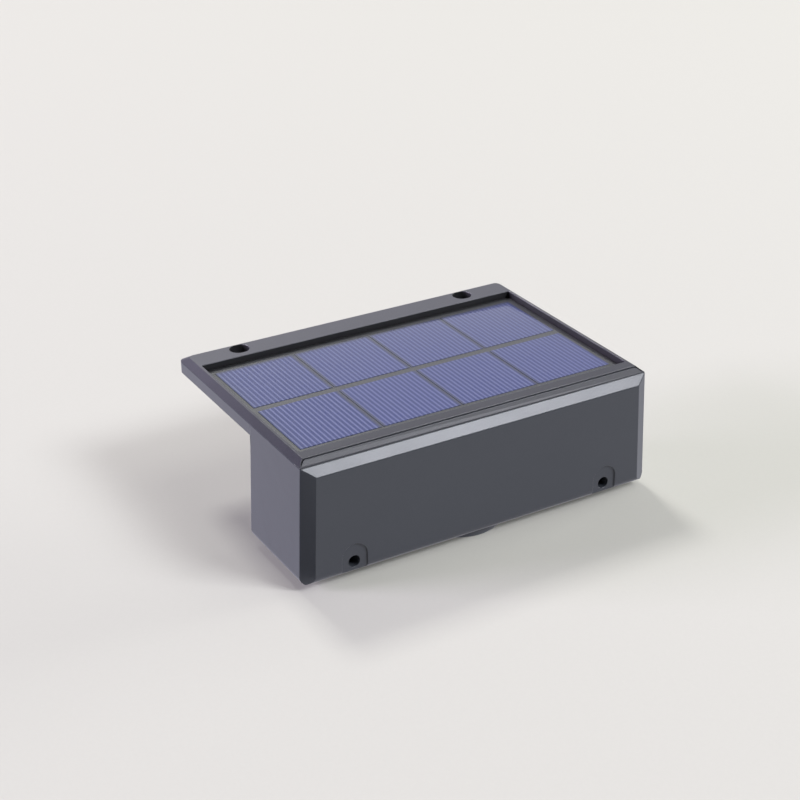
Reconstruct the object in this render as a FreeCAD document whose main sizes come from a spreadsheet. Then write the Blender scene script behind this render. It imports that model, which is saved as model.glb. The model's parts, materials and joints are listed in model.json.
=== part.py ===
import FreeCAD, Part
import math
import os
import re
import Sketcher

# Solar fence light in millimetres.
# The origin is the inner corner of the L, where the fence's top rail and its face meet.
# X runs along the light, the front faces -Y, the overhang reaches towards +Y, and Z is up.

document = FreeCAD.newDocument("fence_light")
sheet = document.addObject("Spreadsheet::Sheet", "sizes")

# Driving sizes
DRIVING = [
    ("body_length", 150.0),
    ("overhang_depth", 64.4),
    ("front_depth", 39.5),
    ("lip_height", 4.8),
    ("bevel_height", 2.2),
    ("bevel_width", 2.6),
    ("front_bevel_width", 3.1),
    ("rear_bevel_width", 3.6),
    ("rear_corner_radius", 3.0),
    ("box_drop", 42.2),
    ("end_flare", 1.9),
    ("face_step", 2.9),
    ("face_side_step", 5.0),
    ("face_top_drop", 3.5),
    ("bottom_radius", 3.2),
    ("wall", 2.6),
    ("back_wall", 2.4),
    ("box_floor", 2.4),
    ("overhang_floor", 1.7),
    ("fit_gap", 0.3),
    ("side_rim", 1.2),
    ("front_rim", 5.0),
    ("rear_rim", 10.4),
    ("panel_sunk", 1.9),
    ("groove_width", 0.6),
    ("groove_depth", 1.0),
    ("seal_inset", 1.2),
    ("seal_width", 0.9),
    ("seal_height", 0.8),
    ("bed_floor", 1.0),
    ("board_gap", 0.25),
    ("cell_thickness", 0.25),
    ("panel_board_thickness", 1.0),
    ("tape_thickness", 0.25),
    ("cell_end_margin", 3.2),
    ("cell_side_margin", 5.4),
    ("cell_line", 0.7),
    ("row_line", 3.6),
    ("rear_hole_end", 23.0),
    ("rear_hole_inset", 7.3),
    ("rear_hole_radius", 4.0),
    ("screw_clear_radius", 2.3),
    ("front_hole_end", 19.4),
    ("front_hole_rise", 4.7),
    ("tube_radius", 4.2),
    ("arch_radius", 5.2),
    ("arch_rise", 7.0),
    ("arch_depth", 0.7),
    ("cover_screw_spacing", 33.0),
    ("cover_screw_inset", 9.0),
    ("cover_boss_radius", 3.5),
    ("cover_boss_height", 1.5),
    ("cover_head_radius", 2.4),
    ("cover_head_height", 1.6),
    ("cover_shank_radius", 1.3),
    ("cover_shank_length", 4.2),
    ("hook_half", 6.0),
    ("hook_centre", 40.0),
    ("hook_reach", 1.4),
    ("hook_height", 1.0),
    ("panel_lead_end", 13.0),
    ("panel_lead_hole", 2.4),
    ("lens_inset", 22.5),
    ("ring_radius", 17.4),
    ("ring_drop", 2.6),
    ("ring_neck_radius", 15.1),
    ("ring_neck_bore", 13.9),
    ("ring_window", 12.6),
    ("ring_shoulder", 0.6),
    ("ring_neck_height", 3.0),
    ("snap_half", 2.0),
    ("snap_reach", 1.1),
    ("snap_height", 0.8),
    ("lens_thickness", 1.0),
    ("lens_dome", 1.6),
    ("gasket_inner", 15.9),
    ("gasket_outer", 16.9),
    ("gasket_height", 0.6),
    ("led_board_length", 46.0),
    ("led_board_depth", 25.0),
    ("led_board_thickness", 1.2),
    ("led_board_lift", 2.2),
    ("led_boss_spacing", 39.6),
    ("led_boss_radius", 2.6),
    ("led_pitch_x", 11.0),
    ("led_pitch_y", 9.0),
    ("led_length", 3.5),
    ("led_depth", 2.8),
    ("led_height", 0.8),
    ("small_shank_radius", 1.1),
    ("small_shank_length", 2.4),
    ("small_head_radius", 2.2),
    ("small_head_height", 1.4),
    ("battery_radius", 9.2),
    ("battery_length", 65.0),
    ("battery_nub_radius", 2.8),
    ("battery_nub_height", 0.7),
    ("battery_back", 15.2),
    ("battery_up", 22.0),
    ("contact_thickness", 0.4),
    ("contact_half", 5.0),
    ("contact_height", 12.0),
    ("coil_radius", 4.0),
    ("coil_wire_radius", 0.45),
    ("coil_length", 5.5),
    ("holder_wall", 1.6),
    ("holder_side_height", 7.0),
    ("holder_foot", 9.0),
    ("holder_foot_half", 4.0),
    ("holder_boss_radius", 3.0),
    ("control_front", 31.0),
    ("control_thickness", 1.4),
    ("control_length", 80.0),
    ("control_low", 8.7),
    ("control_high", 35.0),
    ("rib_depth", 2.2),
    ("rib_grip", 2.8),
    ("rib_length", 5.0),
    ("slot_gap", 0.1),
    ("socket_length", 6.0),
    ("socket_depth", 4.0),
    ("socket_height", 5.0),
    ("socket_drop", 0.6),
    ("chip_length", 9.0),
    ("chip_height", 6.0),
    ("chip_thickness", 1.5),
    ("chip_down", 18.0),
    ("inductor_radius", 3.6),
    ("inductor_height", 4.6),
    ("capacitor_radius", 3.1),
    ("capacitor_height", 6.5),
    ("switch_x", 32.0),
    ("switch_side", 8.0),
    ("switch_height", 3.8),
    ("button_radius", 4.0),
    ("button_proud", 0.5),
    ("button_flange_radius", 5.2),
    ("button_flange", 0.7),
    ("button_stem_radius", 1.6),
    ("button_travel", 0.9),
    ("lead_radius", 0.6),
    ("lead_bend", 1.3),
    ("lead_half_pitch", 0.9),
    ("led_lead_half_pitch", 5.0),
    ("panel_socket_x", 14.0),
    ("lead_level", 1.4),
]

# Sizes worked out from the driving ones
DERIVED = [
    ("half_length", "body_length / 2"),
    ("rim_top", "lip_height + bevel_height"),
    ("face_depth", "front_depth + face_step"),
    ("rear_hole_x", "half_length - rear_hole_end"),
    ("front_hole_x", "half_length - front_hole_end"),
    ("panel_lead_x", "half_length - panel_lead_end"),
    ("inner_half", "half_length - wall"),
    ("inner_front", "front_depth - wall"),
    ("inner_rear", "overhang_depth - wall"),
    ("floor_top", "box_drop - box_floor"),
    ("front_pocket", "face_depth - wall"),
    ("skirt_half", "inner_half - fit_gap"),
    ("skirt_front", "inner_front - fit_gap"),
    ("skirt_rear", "inner_rear - fit_gap"),
    ("skirt_low", "overhang_floor + fit_gap"),
    ("top_half", "half_length - bevel_width"),
    ("top_front", "front_depth - front_bevel_width"),
    ("top_rear", "overhang_depth - rear_bevel_width"),
    ("bed_half", "top_half - side_rim"),
    ("bed_front", "top_front - front_rim"),
    ("bed_rear", "top_rear - rear_rim"),
    ("bed_level", "skirt_low + bed_floor"),
    ("tape_top", "bed_level + tape_thickness"),
    ("resin_top", "rim_top - panel_sunk"),
    ("board_top", "tape_top + panel_board_thickness"),
    ("cell_top", "board_top + cell_thickness"),
    ("panel_half", "bed_half - board_gap"),
    ("panel_front", "bed_front - board_gap"),
    ("panel_rear", "bed_rear - board_gap"),
    ("cells_half", "panel_half - cell_end_margin"),
    ("cells_front", "panel_front - cell_side_margin"),
    ("cells_rear", "panel_rear - cell_side_margin * rear_margin_share"),
    ("column_pitch", "(cells_half * 2 + cell_line) / cell_columns"),
    ("row_pitch", "(cells_front + cells_rear + row_line) / cell_rows"),
    ("rear_hole_y", "overhang_depth - rear_hole_inset"),
    ("front_hole_z", "front_hole_rise - box_drop"),
    ("arch_z", "arch_rise - box_drop"),
    ("cover_screw_y", "overhang_depth - cover_screw_inset"),
    ("floor_hole_radius", "ring_neck_radius + fit_gap"),
    ("ring_low", "box_drop + ring_drop"),
    ("lens_low", "ring_low - ring_drop - ring_shoulder"),
    ("led_board_low", "floor_top - led_board_lift"),
    ("led_board_top", "led_board_low - led_board_thickness"),
    ("holder_low", "battery_up + battery_radius + holder_wall"),
    ("holder_inner_half", "(battery_length + battery_nub_height + coil_length + contact_thickness * 2) / 2"),
    ("battery_start", "contact_thickness + coil_length - holder_inner_half"),
    ("holder_half_depth", "battery_radius + fit_gap + holder_wall"),
    ("holder_boss_x", "holder_inner_half + holder_wall + holder_foot / 2"),
    ("control_back", "control_front - control_thickness"),
    ("control_half", "control_length / 2"),
    ("button_flange_low", "floor_top - fit_gap"),
    ("button_stem_top", "holder_low + switch_height + fit_gap + button_travel"),
    ("socket_top", "control_low + socket_drop"),
    ("socket_front", "control_front + socket_depth / 2"),
    ("rib_top", "socket_top + socket_height + fit_gap"),
    ("led_socket_low", "led_board_top - socket_height * 2"),
]

# How many of a thing there are
COUNTS = [
    ("cell_columns", 4),
    ("cell_rows", 2),
    ("coil_turns", 4),
]

# Parts of another size
SHARES = [
    ("rear_margin_share", 0.8),
    ("slope_corner_share", 1.45),
    ("socket_spread_share", 1.6),
    ("overlap_share", 0.2),
    ("hook_gap_share", 3.0),
    ("screw_head_share", 0.9),
    ("shank_start_share", 0.5),
    ("end_socket_share", 0.25),
    ("switch_lead_share", 2 / 3),
    ("touch_share", 0.1),
    ("volume_share", 0.001),
]


def fill_sheet():
    """Writes each value with its name; names can then be used in every formula."""
    row = 0
    for name, value in COUNTS + SHARES + DRIVING:
        row += 1
        sheet.set("A%d" % row, name)
        sheet.set("B%d" % row, str(value))
        sheet.setAlias("B%d" % row, name)
    for name, text in DERIVED:
        row += 1
        sheet.set("A%d" % row, name)
        sheet.set("B%d" % row, "=" + text)
        sheet.setAlias("B%d" % row, name)
    document.recompute()


def linked(text):
    """Puts the sheet's name before every size in a formula."""
    return re.sub(r"[a-z][a-z_]*", lambda word: "sizes." + word.group(0), text)


def bind(thing, slot, text):
    thing.setExpression(slot, linked(text))


def size(name):
    return float(sheet.get(name))


def new_body(name):
    body = document.addObject("PartDesign::Body", name)
    body.Label = name
    return body


def drawing(body, name, plane, level):
    """A sketch on one of the body's own origin planes, moved along the plane's normal."""
    sketch = body.newObject("Sketcher::SketchObject", name)
    for feature in body.Origin.OriginFeatures:
        if feature.Role == plane:
            sketch.AttachmentSupport = (feature, [""])
    sketch.MapMode = "FlatFace"
    bind(sketch, "AttachmentOffset.Base.z", level)
    return sketch


def pin_point(sketch, index, end, across, up, start):
    """Ties one point of the sketch to two formulas measured from the sketch's origin."""
    for kind, text, value in (("DistanceX", across, start.x), ("DistanceY", up, start.y)):
        number = sketch.addConstraint(Sketcher.Constraint(kind, -1, 1, index, end, value))
        bind(sketch, "Constraints[%d]" % number, text)


def draw_outline(sketch, corners):
    """A closed outline of straight lines whose corners are pairs of formulas."""
    first = len(sketch.Geometry)
    count = len(corners)
    places = []
    for index in range(count):
        turn = 2 * math.pi * index / count
        places.append(FreeCAD.Vector(math.cos(turn), math.sin(turn), 0) * (count + first))
    for index in range(count):
        line = Part.LineSegment(places[index], places[(index + 1) % count])
        sketch.addGeometry(line, False)
    for index in range(count):
        following = first + (index + 1) % count
        sketch.addConstraint(Sketcher.Constraint("Coincident", first + index, 2, following, 1))
    for index in range(count):
        across, up = corners[index]
        pin_point(sketch, first + index, 1, across, up, places[index])


def draw_circle(sketch, across, up, radius):
    start = FreeCAD.Vector(1 + len(sketch.Geometry), 1, 0)
    index = sketch.addGeometry(Part.Circle(start, FreeCAD.Vector(0, 0, 1), 1), False)
    number = sketch.addConstraint(Sketcher.Constraint("Radius", index, 1.0))
    bind(sketch, "Constraints[%d]" % number, radius)
    pin_point(sketch, index, 3, across, up, start)


def rectangle(west, east, south, north):
    return [(west, south), (east, south), (east, north), (west, north)]


def extrude(body, kind, name, sketch, length, backwards=False):
    feature = body.newObject("PartDesign::" + kind, name)
    feature.Profile = sketch
    feature.Reversed = backwards
    bind(feature, "Length", length)
    sketch.Visibility = False
    return feature


def add_slab(body, name, corners, low, high):
    """Adds an outline as a slab between two heights."""
    sketch = drawing(body, name + "_outline", "XY_Plane", low)
    draw_outline(sketch, corners)
    return extrude(body, "Pad", name, sketch, "(%s) - (%s)" % (high, low))


def cut_slab(body, name, outlines, low, high):
    """Removes one outline, or the ring between two, between two heights."""
    sketch = drawing(body, name + "_outline", "XY_Plane", low)
    for corners in outlines:
        draw_outline(sketch, corners)
    return extrude(body, "Pocket", name, sketch, "(%s) - (%s)" % (high, low), True)


def add_rounds(body, name, circles, low, high):
    """Adds round bosses, each given as centre x, centre y and radius."""
    sketch = drawing(body, name + "_outline", "XY_Plane", low)
    for across, up, radius in circles:
        draw_circle(sketch, across, up, radius)
    return extrude(body, "Pad", name, sketch, "(%s) - (%s)" % (high, low))


def cut_rounds(body, name, circles, low, high):
    """Removes round holes between two heights."""
    sketch = drawing(body, name + "_outline", "XY_Plane", low)
    for across, up, radius in circles:
        draw_circle(sketch, across, up, radius)
    return extrude(body, "Pocket", name, sketch, "(%s) - (%s)" % (high, low), True)


def spin(body, kind, name, corners, centre_y):
    """Turns a half section, given as radius and height, about an upright axis."""
    sketch = drawing(body, name + "_section", "XZ_Plane", "0 - (%s)" % centre_y)
    draw_outline(sketch, corners)
    feature = body.newObject("PartDesign::" + kind, name)
    feature.Profile = sketch
    feature.ReferenceAxis = (sketch, ["V_Axis"])
    feature.Angle = 360
    sketch.Visibility = False
    return feature


def edges_where(shape, wanted):
    """Names of the edges whose end points and middle all meet a test."""
    names = []
    for index, edge in enumerate(shape.Edges):
        middle = edge.valueAt((edge.FirstParameter + edge.LastParameter) / 2)
        points = [vertex.Point for vertex in edge.Vertexes] + [middle]
        if all(wanted(point) for point in points):
            names.append("Edge%d" % (index + 1))
    return names


def round_edges(body, name, wanted, radius):
    document.recompute()
    source = body.Tip
    names = edges_where(source.Shape, wanted)
    feature = body.newObject("PartDesign::Fillet", name)
    feature.Base = (source, names)
    bind(feature, "Radius", radius)
    return feature


def lean_corner(body, name, sketch, lean):
    """Cuts an outline downwards through the box along the same lean as its flared ends."""
    feature = extrude(body, "Pocket", name, sketch, "(box_drop + lip_height) * (1 + overlap_share)")
    feature.UseCustomVector = True
    feature.AlongSketchNormal = True
    feature.Direction = FreeCAD.Vector(0, 0, -1)
    bind(feature, "Direction.x", "(%s) / (box_drop + lip_height)" % lean)


def near(first, second):
    return abs(first - second) < size("fit_gap") * size("touch_share")


def box_between(name, low, high):
    """A plain block between two corners given as formulas."""
    box = document.addObject("Part::Box", name)
    for index, slot in enumerate(("Length", "Width", "Height")):
        bind(box, slot, "(%s) - (%s)" % (high[index], low[index]))
    for index, slot in enumerate("xyz"):
        bind(box, "Placement.Base." + slot, low[index])
    return box


TURNS = {
    "z": FreeCAD.Rotation(),
    "x": FreeCAD.Rotation(FreeCAD.Vector(0, 1, 0), 90),
    "y": FreeCAD.Rotation(FreeCAD.Vector(1, 0, 0), -90),
}


def round_bar(name, base, radius, length, axis="z"):
    """A plain cylinder that starts at a point and runs along +x, +y or +z."""
    bar = document.addObject("Part::Cylinder", name)
    bar.Placement.Rotation = TURNS[axis]
    bind(bar, "Radius", radius)
    bind(bar, "Height", length)
    for index, slot in enumerate("xyz"):
        bind(bar, "Placement.Base." + slot, base[index])
    return bar


def joined(name, pieces):
    union = document.addObject("Part::MultiFuse", name)
    union.Shapes = pieces
    union.Label = name
    return union


def group(name, pieces):
    """Separate solids that share one name."""
    bundle = document.addObject("Part::Compound", name)
    bundle.Links = pieces
    bundle.Label = name
    return bundle


def carved(name, stock, tool):
    rest = document.addObject("Part::Cut", name)
    rest.Base = stock
    rest.Tool = tool
    rest.Label = name
    return rest


def lower_housing():
    """L-shaped shell: the overhang's shallow tray and the deep box in front of the fence."""
    body = new_body("lower_housing")
    flared = "half_length + end_flare"
    front_view = drawing(body, "box_outline", "XZ_Plane", "0")
    draw_outline(front_view, [("0 - half_length", "lip_height"), ("0 - (%s)" % flared, "0 - box_drop"),
                              (flared, "0 - box_drop"), ("half_length", "lip_height")])
    extrude(body, "Pad", "box", front_view, "face_depth")
    half = size("half_length")
    bottom = size("box_drop")
    round_edges(body, "bottom_rounding", lambda p: near(p.z, -bottom), "bottom_radius")
    corners = drawing(body, "face_sides_outline", "XY_Plane", "lip_height")
    past_x = "half_length + face_side_step * overlap_share"
    past_y = "0 - face_depth - face_step * overlap_share"
    inner_x = "half_length - face_side_step - face_side_step * overlap_share"
    outer_y = "0 - front_depth + face_step * overlap_share"
    draw_outline(corners, [(past_x, outer_y), (inner_x, past_y), (past_x, past_y)])
    lean_corner(body, "face_side_right", corners, "end_flare")
    corners = drawing(body, "face_sides_left_outline", "XY_Plane", "lip_height")
    draw_outline(corners,
                 [("0 - (%s)" % past_x, outer_y), ("0 - (%s)" % past_x, past_y),
                  ("0 - (%s)" % inner_x, past_y)])
    lean_corner(body, "face_side_left", corners, "0 - end_flare")
    wedge = drawing(body, "front_slope_outline", "YZ_Plane", "0 - half_length - end_flare")
    past_z = "lip_height - face_top_drop - face_top_drop * overlap_share"
    draw_outline(wedge,
                 [("0 - front_depth", "lip_height"), (past_y, past_z), (past_y, "rim_top"),
                  ("0 - front_depth", "rim_top")])
    extrude(body, "Pocket", "front_slope", wedge, "(half_length + end_flare) * 2", True)

    tray = rectangle("0 - half_length", "half_length", "0 - back_wall", "overhang_depth")
    add_slab(body, "tray", tray, "0", "lip_height")
    rear = size("overhang_depth")
    round_edges(body, "rear_corners", lambda p: near(abs(p.x), half) and near(p.y, rear),
                "rear_corner_radius")
    seal_out = rectangle("0 - half_length + seal_inset", "half_length - seal_inset",
                         "0 - front_depth + seal_inset", "overhang_depth - seal_inset")
    inset = "(seal_inset + seal_width)"
    seal_in = rectangle("0 - half_length + " + inset, "half_length - " + inset,
                        "0 - front_depth + " + inset, "overhang_depth - " + inset)
    cut_slab(body, "seal_groove", [seal_out, seal_in], "lip_height - seal_height", "lip_height")
    tray_room = rectangle("0 - inner_half", "inner_half", "0 - inner_front", "inner_rear")
    cut_slab(body, "tray_room", [tray_room], "overhang_floor", "lip_height")
    box_room = rectangle("0 - inner_half", "inner_half", "0 - inner_front", "0 - back_wall")
    cut_slab(body, "box_room", [box_room], "0 - floor_top", "overhang_floor")
    face_half = "(half_length - face_side_step - wall)"
    front_room = rectangle("0 - " + face_half, face_half, "0 - front_pocket",
                           "0 - inner_front + face_step * overlap_share")
    cut_slab(body, "front_room", [front_room], "0 - floor_top", "lip_height - face_top_drop - wall")

    tubes = drawing(body, "tubes_outline", "XZ_Plane", "back_wall - back_wall * overlap_share")
    for sign in ("", "0 - "):
        draw_circle(tubes, sign + "front_hole_x", "front_hole_z", "tube_radius")
    extrude(body, "Pad", "screw_tubes", tubes, "front_pocket - back_wall + back_wall * overlap_share * 2")

    arches = drawing(body, "arches_outline", "XZ_Plane", "face_depth - arch_depth")
    for sign in ("", "0 - "):
        draw_arch(arches, sign + "front_hole_x", "arch_radius", "0 - box_drop - bottom_radius", "arch_z")
    extrude(body, "Pocket", "front_arches", arches, "arch_depth + face_step", True)
    bores = drawing(body, "bores_outline", "XZ_Plane", "0 - back_wall")
    for sign in ("", "0 - "):
        draw_circle(bores, sign + "front_hole_x", "front_hole_z", "screw_clear_radius")
    extrude(body, "Pocket", "screw_bores", bores, "face_depth + back_wall * 2", True)

    rear_spots = [(sign + "rear_hole_x", "rear_hole_y", "screw_clear_radius") for sign in ("", "0 - ")]
    cut_rounds(body, "rear_holes", rear_spots, "0", "overhang_floor")
    spots = ["0 - cover_screw_spacing", "0", "cover_screw_spacing"]
    add_rounds(body, "cover_bosses", [(x, "cover_screw_y", "cover_boss_radius") for x in spots],
               "overhang_floor / 2", "overhang_floor + cover_boss_height")
    cut_rounds(body, "cover_head_rooms", [(x, "cover_screw_y", "cover_head_radius") for x in spots], "0",
               "cover_head_height")
    cut_rounds(body, "cover_shank_rooms", [(x, "cover_screw_y", "cover_shank_radius") for x in spots],
               "cover_head_height", "overhang_floor + cover_boss_height")
    for number, sign in enumerate(("", "0 - ")):
        centre = sign + "hook_centre"
        reach = "(hook_half + fit_gap)"
        slot = rectangle(centre + " - " + reach, centre + " + " + reach,
                         "0 - skirt_front - hook_reach - fit_gap", "0 - inner_front + fit_gap")
        cut_slab(body, "hook_slot_%d" % number, [slot], "skirt_low",
                 "skirt_low + hook_height + fit_gap * hook_gap_share")

    lens_y = "0 - lens_inset"
    cut_rounds(body, "lens_hole", [("0", lens_y, "floor_hole_radius")], "0 - box_drop", "0 - floor_top")
    cut_rounds(body, "gasket_groove", [("0", lens_y, "gasket_outer"), ("0", lens_y, "gasket_inner")],
               "0 - box_drop", "0 - box_drop + gasket_height")
    led_spots = [(sign + "led_boss_spacing / 2", lens_y) for sign in ("", "0 - ")]
    add_rounds(body, "led_bosses", [spot + ("led_boss_radius",) for spot in led_spots],
               "0 - floor_top - box_floor / 2", "0 - led_board_low")
    cut_rounds(body, "led_pilots", [spot + ("small_shank_radius",) for spot in led_spots],
               "0 - led_board_low - small_shank_length + led_board_thickness", "0 - led_board_low")
    feet = [(sign + "holder_boss_x", "0 - battery_back") for sign in ("", "0 - ")]
    add_rounds(body, "holder_bosses", [spot + ("holder_boss_radius",) for spot in feet],
               "0 - floor_top - box_floor / 2", "0 - holder_low")
    cut_rounds(body, "holder_pilots", [spot + ("small_shank_radius",) for spot in feet],
               "0 - holder_low - small_shank_length + holder_wall", "0 - holder_low")
    for number, sign in enumerate(("", "0 - ")):
        mid = "(control_half + rib_depth - rib_length / 2)"
        rib = rectangle(sign + mid + " - rib_length / 2", sign + mid + " + rib_length / 2",
                        "0 - control_front - rib_grip", "0 - control_back + rib_grip")
        add_slab(body, "board_rib_%d" % number, rib, "0 - floor_top - box_floor / 2", "0 - rib_top")
    slot = rectangle("0 - control_half - slot_gap", "control_half + slot_gap",
                     "0 - control_front - slot_gap", "0 - control_back + slot_gap")
    cut_slab(body, "board_slot", [slot], "0 - control_high", "0 - control_low")
    cut_rounds(body, "button_hole", [("switch_x", lens_y, "button_radius + fit_gap")], "0 - box_drop",
               "0 - floor_top")
    return body


def draw_arch(sketch, centre, radius, foot, spring_line):
    """Two upright sides joined by a half circle above and a straight line below."""
    first = len(sketch.Geometry)
    shift = FreeCAD.Vector(first, 0, 0)
    left = FreeCAD.Vector(-1, 0, 0) + shift
    right = FreeCAD.Vector(1, 0, 0) + shift
    foot_left = FreeCAD.Vector(-1, -1, 0) + shift
    foot_right = FreeCAD.Vector(1, -1, 0) + shift
    circle = Part.Circle(shift, FreeCAD.Vector(0, 0, 1), 1)
    sketch.addGeometry(Part.LineSegment(left, foot_left), False)
    sketch.addGeometry(Part.LineSegment(foot_left, foot_right), False)
    sketch.addGeometry(Part.LineSegment(foot_right, right), False)
    sketch.addGeometry(Part.ArcOfCircle(circle, 0, math.pi), False)
    sketch.addConstraint(Sketcher.Constraint("Coincident", first, 2, first + 1, 1))
    sketch.addConstraint(Sketcher.Constraint("Coincident", first + 1, 2, first + 2, 1))
    sketch.addConstraint(Sketcher.Constraint("Coincident", first + 2, 2, first + 3, 1))
    sketch.addConstraint(Sketcher.Constraint("Coincident", first + 3, 2, first, 1))
    west = "%s - %s" % (centre, radius)
    east = "%s + %s" % (centre, radius)
    pin_point(sketch, first, 1, west, spring_line, left)
    pin_point(sketch, first, 2, west, foot, foot_left)
    pin_point(sketch, first + 1, 2, east, foot, foot_right)
    pin_point(sketch, first + 2, 2, east, spring_line, right)
    number = sketch.addConstraint(Sketcher.Constraint("DistanceY", -1, 1, first + 3, 3, 0.0))
    bind(sketch, "Constraints[%d]" % number, spring_line)


def top_cover():
    """Cover with the sloped edge, the rims and the sunk bed for the panel."""
    body = new_body("top_cover")
    plan = rectangle("0 - half_length", "half_length", "0 - front_depth", "overhang_depth")
    add_slab(body, "cap", plan, "lip_height", "rim_top")
    side_view = drawing(body, "front_rear_slopes_outline", "YZ_Plane", "0 - half_length")
    draw_outline(side_view,
                 [("0 - front_depth", "lip_height"), ("0 - top_front", "rim_top"),
                  ("0 - front_depth", "rim_top")])
    draw_outline(side_view,
                 [("overhang_depth", "lip_height"), ("overhang_depth", "rim_top"), ("top_rear", "rim_top")])
    extrude(body, "Pocket", "front_rear_slopes", side_view, "body_length", True)
    front_view = drawing(body, "side_slopes_outline", "XZ_Plane", "0 - overhang_depth")
    draw_outline(front_view,
                 [("0 - half_length", "lip_height"), ("0 - top_half", "rim_top"),
                  ("0 - half_length", "rim_top")])
    draw_outline(front_view,
                 [("half_length", "lip_height"), ("half_length", "rim_top"), ("top_half", "rim_top")])
    extrude(body, "Pocket", "side_slopes", front_view, "overhang_depth + front_depth", True)
    halfway_x = (size("half_length") + size("top_half")) / 2
    halfway_y = (size("overhang_depth") + size("top_rear")) / 2
    spread = size("rear_bevel_width")

    def at_rear_corner(point):
        return abs(abs(point.x) - halfway_x) < spread and abs(point.y - halfway_y) < spread

    round_edges(body, "cover_corners", at_rear_corner, "rear_corner_radius * slope_corner_share")
    skirt = rectangle("0 - skirt_half", "skirt_half", "0 - skirt_front", "skirt_rear")
    add_slab(body, "skirt", skirt, "skirt_low", "lip_height + bevel_height / 2")
    line = rectangle("0 - top_half", "top_half", "0 - top_front - groove_width", "0 - top_front")
    cut_slab(body, "front_groove", [line], "rim_top - groove_depth", "rim_top")
    right = [("top_half", "0 - top_front"), ("top_half - groove_width", "0 - top_front"),
             ("half_length - groove_width", "0 - front_depth"), ("half_length", "0 - front_depth")]
    left = [("0 - (%s)" % across, up) for across, up in right]
    cut_slab(body, "mitre_grooves", [right, left], "lip_height + fit_gap", "rim_top")
    bed = rectangle("0 - bed_half", "bed_half", "0 - bed_front", "bed_rear")
    cut_slab(body, "panel_bed", [bed], "bed_level", "rim_top")
    rear_spots = [(sign + "rear_hole_x", "rear_hole_y", "rear_hole_radius") for sign in ("", "0 - ")]
    cut_rounds(body, "head_holes", rear_spots, "skirt_low", "rim_top")
    spots = ["0 - cover_screw_spacing", "0", "cover_screw_spacing"]
    cut_rounds(body, "boss_rooms", [(x, "cover_screw_y", "cover_boss_radius + fit_gap") for x in spots],
               "skirt_low", "overhang_floor + cover_boss_height + fit_gap")
    cut_rounds(body, "screw_pilots", [(x, "cover_screw_y", "cover_shank_radius") for x in spots],
               "overhang_floor + cover_boss_height + fit_gap", "cover_head_height + cover_shank_length")
    for number, sign in enumerate(("", "0 - ")):
        centre = sign + "hook_centre"
        hook = rectangle(centre + " - hook_half", centre + " + hook_half", "0 - skirt_front - hook_reach",
                         "0 - skirt_front + side_rim")
        add_slab(body, "hook_%d" % number, hook, "skirt_low + fit_gap", "skirt_low + fit_gap + hook_height")
    cut_rounds(body, "lead_hole", [("panel_lead_x", "0 - lens_inset", "panel_lead_hole")], "skirt_low",
               "bed_level")
    return body


def seal():
    """Square cord in the groove between cover and housing."""
    outer = box_between("seal_outer",
                        ("0 - half_length + seal_inset", "0 - front_depth + seal_inset",
                         "lip_height - seal_height"),
                        ("half_length - seal_inset", "overhang_depth - seal_inset", "lip_height"))
    inset = "(seal_inset + seal_width)"
    inner = box_between("seal_inner",
                        ("0 - half_length + " + inset, "0 - front_depth + " + inset,
                         "lip_height - seal_height"),
                        ("half_length - " + inset, "overhang_depth - " + inset, "lip_height"))
    return carved("housing_seal", outer, inner)


def cover_screws():
    screws = []
    for number, x in enumerate(("0 - cover_screw_spacing", "0", "cover_screw_spacing")):
        head = round_bar("cover_head_%d" % number,
                         (x, "cover_screw_y", "cover_head_height - cover_head_height * screw_head_share"),
                         "cover_head_radius - fit_gap", "cover_head_height * screw_head_share")
        shank = round_bar("cover_shank_%d" % number,
                          (x, "cover_screw_y", "cover_head_height - cover_head_height * shank_start_share"),
                          "cover_shank_radius", "cover_shank_length")
        screws.append(joined("cover_screw_%d" % number, [head, shank]))
    return group("cover_screws", screws)


def panel_board():
    board = box_between("panel_board_stock", ("0 - panel_half", "0 - panel_front", "tape_top"),
                        ("panel_half", "panel_rear", "board_top"))
    return labelled("panel_board", board)


def labelled(name, piece):
    piece.Label = name
    return piece


def cell_corners(column, row):
    west = "0 - cells_half + column_pitch * %d" % column
    south = "0 - cells_front + row_pitch * %d" % row
    return west, south


def cell_boxes(prefix, low, high):
    boxes = []
    for column in range(int(size("cell_columns"))):
        for row in range(int(size("cell_rows"))):
            west, south = cell_corners(column, row)
            east = west + " + column_pitch - cell_line"
            north = south + " + row_pitch - row_line"
            boxes.append(box_between("%s_%d_%d" % (prefix, column, row), (west, south, low),
                                     (east, north, high)))
    return boxes


def solar_cells():
    return group("solar_cells", cell_boxes("cell", "board_top", "cell_top"))


def panel_cover():
    resin = box_between("resin_stock", ("0 - panel_half", "0 - panel_front", "board_top"),
                        ("panel_half", "panel_rear", "resin_top"))
    rooms = group("cell_rooms", cell_boxes("cell_room", "board_top", "cell_top"))
    return carved("panel_cover", resin, rooms)


def panel_adhesive():
    tape = box_between("tape_stock", ("0 - panel_half", "0 - panel_front", "bed_level"),
                       ("panel_half", "panel_rear", "tape_top"))
    hole = round_bar("tape_hole", ("panel_lead_x", "0 - lens_inset", "bed_level"), "panel_lead_hole",
                     "tape_thickness")
    return carved("panel_adhesive", tape, hole)


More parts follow.
